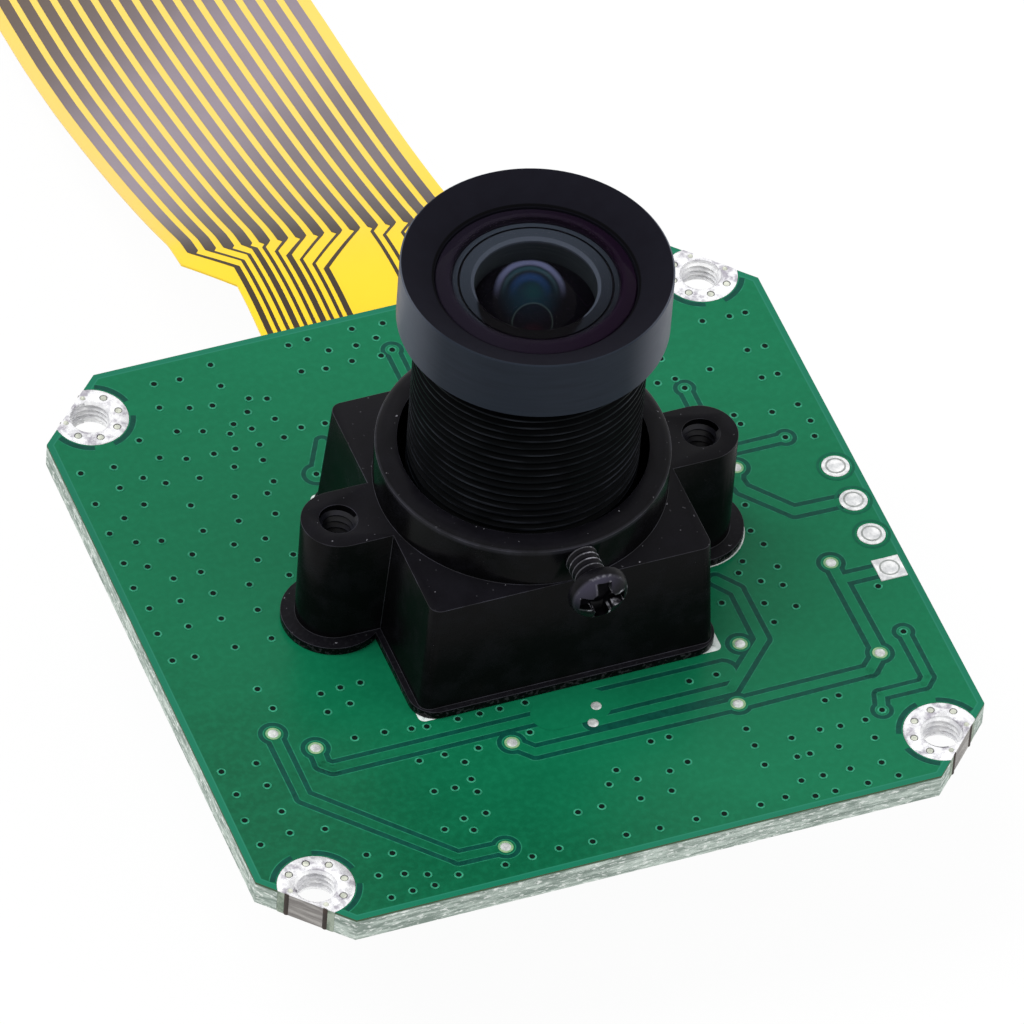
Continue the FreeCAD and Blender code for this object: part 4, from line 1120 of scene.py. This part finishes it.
# %% [markdown]
# ## Lens barrel
# The barrel is turned in one outline, from the rear lip round the outside, over the head and back down
# the bore. The M12 thread with its 0.5 mm pitch goes on as a second body.

# %% Lens barrel
BARREL = [
    (3.3, 5.4), (5.6, 5.4), (5.68, 5.5), (5.68, 18.1), (5.6, 18.15), (5.6, 19.1), (6.9, 19.1),
    (7.0, 19.2), (7.0, 22.84), (6.95, 22.9), (6.88, 22.89), (5.28, 21.98), (5.2, 21.86),
    (5.2, 21.66), (4.3, 21.66), (4.3, 6.4), (3.3, 6.4), (3.3, 5.4),
]
barrel = turned(BARREL, 112)
ridges = thread(5.72, 6.0, 0.5, 24, 72, 0.2)
ridges.location.z = 5.9 * MM
barrel = settle(joined([barrel, ridges]), "barrel", 32)
print("barrel:", len(barrel.data.polygons), "faces")

# %% [markdown]
# Anodised metal is black with a blue cast. The outside of the head is a lighter blue-grey as a painted
# reflection of the floor, lighter still toward its sides in the picture as painted sheen. The cone in
# front is matt, so it stays almost black, and the tips of the thread are paler.

# %% Barrel finish
barrel_finish = Finish("anodised_metal", 0x14161B, 0.38, Specular_IOR_Level=0.03)
x, y, z = barrel_finish.axes()
radius = x.reach(y)
cloud = barrel_finish.noise(900, 4, 0.6)
brushed = barrel_finish.noise(300, 3, 0.6, barrel_finish.stretched(1, 1, 14))
on_head = z.soft_step(0.01905, 0.01915)
outside = radius.soft_step(0.00688, 0.00694)
# Painted sheen: lighter toward the head's left and right sides in the picture.
flank_sheen = picture_right(x, y).size().soft_step(0.0045, 0.0071)
cone = z.soft_step(0.0215, 0.0217) * (1.0 - outside)
tone = barrel_finish.mix(cloud.soft_step(0.35, 0.7), 0x020304, 0x050608)
# Painted reflection: the head's outside is blue-grey, lighter than the rest of the metal.
head_reflection = barrel_finish.mix(brushed, 0x1E2229, 0x272D37)
head_reflection = barrel_finish.mix(flank_sheen, head_reflection, 0x4E525C)
tone = barrel_finish.mix(on_head * outside, tone, head_reflection)
tone = barrel_finish.mix(cone, tone, barrel_finish.mix(cloud, 0x100F15, 0x17171E))
lips = radius.soft_step(0.0052, 0.00523) * radius.fade(0.0053, 0.00534)
lips = lips * z.soft_step(0.0217, 0.0218)
tone = barrel_finish.mix(lips, tone, 0x070709)
crest = radius.soft_step(0.00596, 0.00599) * (1.0 - on_head)
paler_tips = crest * (brushed.soft_step(0.45, 0.7) * 0.5 + 0.06)
tone = barrel_finish.mix(paler_tips, tone, 0x30333A)
barrel_finish.set(
    Base_Color=tone,
    Roughness=cone * 0.3 + cloud * 0.16 + 0.26,
    Normal=barrel_finish.bump(cloud * 0.4 + brushed * 0.5, 0.012 * MM, 0.5),
)
barrel_finish.coat(barrel)
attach(barrel, "lens")
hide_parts("lens_barrel")

# %% [markdown]
# ## Glass
# The front glass is a bevelled disc, clear in the middle and purple at its bevel, where the coating is
# seen at a slant: this purple, deeper toward the picture's right, is the coating's painted reflection. The
# second glass bulges up through the retaining ring. Behind it lies more glass, and together they throw
# back tinted arcs of the room, which its finish paints as rings of colour that also glow faintly. What
# lies behind thick glass looks nearer than it is, so the ring and the second glass are drawn about
# 0.8 mm nearer the front than they sit in the CAD model.

# %% Front glass
DISC = [(0, 21.68), (5.1, 21.68), (5.13, 21.71), (5.13, 21.75), (5.08, 21.82), (4.6, 22.03), (0, 22.03)]
front = turned(DISC, 96)
front = settle(front, "front_glass", 15)
front_finish = Finish("lens_glass", 0x16101C, 0.05, Specular_IOR_Level=0.03)
x, y, _ = front_finish.axes()
radius = x.reach(y)
across = picture_right(x, y)
bevel = radius.soft_step(0.0042, 0.0045)
haze = front_finish.noise(500, 3, 0.6)
# Painted reflection: the coating's purple, deeper toward the picture's right.
coating_reflection = front_finish.mix((across * 110 + haze * 0.4).soft_step(-0.2, 0.7), 0x1A1620, 0x160C1A)
front_finish.set(Base_Color=coating_reflection, Roughness=haze * 0.05 + 0.05, Alpha=bevel * 0.8 + 0.03)
front_finish.coat(front)
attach(front, "lens")
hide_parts("front_element")

# %% Retaining ring
RING = [
    (3.15, 18.6), (4.29, 18.6), (4.29, 21.62), (4.25, 21.66), (4.0, 21.66), (3.97, 21.58),
    (3.91, 21.58), (3.88, 21.66), (3.3, 21.66), (3.15, 21.5), (3.15, 18.6),
]
ring = turned(RING, 96)
ring = settle(ring, "lens_ring", 30)
ring_finish = Finish("ring_metal", 0x2C3138, 0.32, Specular_IOR_Level=0.03)
x, y, z = ring_finish.axes()
radius = x.reach(y)
across = picture_right(x, y)
away = picture_away(x, y)
turnings = ring_finish.node("ShaderNodeCombineXYZ", {}, {0: radius * 900, 1: z * 900})
lathe = ring_finish.noise(5, 2, 0.5, turnings)
# Painted light: the ring is lighter toward the back of the picture.
glow = (away * 130 + across * -40 + lathe * 0.3).soft_step(-0.75, 0.9)
tone = ring_finish.mix(glow, 0x0C0E12, 0x2E343D)
# Painted shade: the narrow cut in the ring's top is dark.
groove = radius.soft_step(0.00386, 0.0039) * radius.fade(0.00398, 0.00402)
tone = ring_finish.mix(groove, tone, 0x0A0B0E)
# Painted light: the top of the inner edge is lighter than the bore below it.
inner = radius.fade(0.00328, 0.00334)
top = z.soft_step(0.02126, 0.02146)
tone = ring_finish.mix(inner * top, tone, 0x444A55)
tone = ring_finish.mix(inner * (1.0 - top), tone, ring_finish.mix(lathe, 0x1C2225, 0x32383C))
right = across * 1000 + 0.2
up = (picture_up(x, y, z) + 0.9) * 1.157
shadow = right.reach(up).fade(2.7, 2.85)
tone = ring_finish.mix(shadow * away.fade(-0.0012, 0.0002), tone, 0x050506)
ring_finish.set(Base_Color=tone, Roughness=lathe * 0.2 + 0.25)
ring_finish.coat(ring)
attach(ring, "lens")
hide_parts("retaining_ring")

# %% Second glass
BALL, BALL_MIDDLE, BALL_REACH, BALL_STEPS = 4.0, 17.62, math.radians(50.8), 14
arc = []
for i in range(BALL_STEPS + 1):
    angle = BALL_REACH * i / BALL_STEPS
    arc.append((BALL * math.sin(angle), BALL_MIDDLE + BALL * math.cos(angle)))
dome = turned(arc + [(3.1, 18.59), (4.2, 18.59), (4.25, 18.55), (4.25, 16.6), (0, 16.59)], 96)
dome = settle(dome, "dome_glass", 25)
dome_finish = Finish("dome_glass", 0x0B0C10, 0.04, Specular_IOR_Level=0.02)
x, y, z = dome_finish.axes()
haze = dome_finish.noise(700, 3, 0.6)


def distance_from(p, q):
    """How far a place is from the picture's point p, q over the ring, in mm."""
    right = picture_right(x, y) * 1000 - p
    up = picture_up(x, y, z) - q
    return right.reach(up) + haze * 0.08


def between(value, inner, outer, soft):
    return value.soft_step(inner - soft, inner + soft) * value.fade(outer - soft, outer + soft)


# Every colour below is a painted reflection: tinted arcs in the upper part, a green middle, a dark ghost
# circle with a pale rim and a dark red patch low down.
whole = distance_from(-0.3, -0.55)
upper = picture_up(x, y, z).soft_step(-0.9, 1.2)
tone = dome_finish.mix(whole.soft_step(0.4, 1.9), 0x0A1820, 0x050507)
tone = dome_finish.mix(between(whole, 1.58, 1.86, 0.1) * upper, tone, 0x464A62)
tone = dome_finish.mix(between(whole, 1.3, 1.5, 0.1) * upper * 0.8, tone, 0x22363E)
tone = dome_finish.mix(between(whole, 0.75, 1.1, 0.15) * upper * 0.8, tone, 0x142A50)
tone = dome_finish.mix(distance_from(-0.15, -0.4).fade(0.1, 0.75) * 0.8, tone, 0x0B2124)
ghost = distance_from(-0.15, -2.0)
tone = dome_finish.mix(ghost.fade(0.98, 1.08) * 0.7, tone, 0x060508)
tone = dome_finish.mix(between(ghost, 1.03, 1.08, 0.035) * 0.14, tone, 0x5A6A66)
tone = dome_finish.mix(distance_from(-0.1, -2.6).fade(0.3, 0.8) * 0.7, tone, 0x14060B)
# The dome also glows faintly in these colours, as painted light.
dome_finish.set(Base_Color=tone, Roughness=haze * 0.05 + 0.02, Emission_Color=tone)
dome_finish.shader.inputs["Emission Strength"].default_value = 0.35
dome_finish.coat(dome)
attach(dome, "lens_stack")
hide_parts("second_element")


# %% [markdown]
# ## Studio
# The picture is lit by a white sky and two soft boxes. The floor lies under the cable's lowest point.

# %% Studio
def softbox(name, place, power):
    """A square lamp half a metre wide that looks at the origin."""
    bpy.ops.object.light_add(type="AREA", location=place)
    lamp = bpy.context.object
    lamp.name = name
    lamp.data.shape = "SQUARE"
    lamp.data.size = 0.5
    lamp.data.energy = power
    lamp.visible_glossy = False
    lamp.rotation_euler = (-Vector(place)).to_track_quat("-Z", "Y").to_euler()


softbox("key", (-0.35, 0.1, 0.75), 6.0)
softbox("fill", (0.5, -0.3, 0.5), 2.5)

FLOOR = -0.0142
bpy.ops.mesh.primitive_plane_add(size=6, location=(0, 0, FLOOR))
floor = bpy.context.object
floor.name = "floor"
floor_finish = Finish("white_floor", 0xF4F4F4, 0.9)
glow = floor_finish.tree.nodes.new("ShaderNodeEmission")
rays = floor_finish.tree.nodes.new("ShaderNodeLightPath")
blend = floor_finish.tree.nodes.new("ShaderNodeMixShader")
seen = Wire(floor_finish, rays.outputs["Is Camera Ray"])
seen = seen.most(Wire(floor_finish, rays.outputs["Is Glossy Ray"]))
seen = seen.most(Wire(floor_finish, rays.outputs["Is Transmission Ray"])) * 0.96
floor_finish.tree.links.new(seen.socket, blend.inputs[0])
floor_finish.tree.links.new(floor_finish.shader.outputs[0], blend.inputs[1])
floor_finish.tree.links.new(glow.outputs[0], blend.inputs[2])
floor_finish.tree.links.new(blend.outputs[0], floor_finish.tree.nodes["Material Output"].inputs["Surface"])
floor_finish.coat(floor)

world = bpy.data.worlds.new("studio")
world.use_nodes = True
bpy.context.scene.world = world
world_nodes = world.node_tree.nodes
world_links = world.node_tree.links
path = world_nodes.new("ShaderNodeLightPath")
sky = world_nodes["Background"]
sky.inputs["Color"].default_value = (1, 1, 1, 1)
level = world_nodes.new("ShaderNodeMath")
level.operation = "MULTIPLY_ADD"
level.inputs[1].default_value = 0.5
level.inputs[2].default_value = 0.5
either = world_nodes.new("ShaderNodeMath")
either.operation = "MAXIMUM"
world_links.new(path.outputs["Is Camera Ray"], either.inputs[0])
world_links.new(path.outputs["Is Glossy Ray"], either.inputs[1])
world_links.new(either.outputs[0], level.inputs[0])
world_links.new(level.outputs[0], sky.inputs["Strength"])
bpy.context.scene.view_settings.view_transform = "Standard"

# %% [markdown]
# ## End
# At the end nothing is left selected.

# %% End
bpy.ops.object.select_all(action="DESELECT")
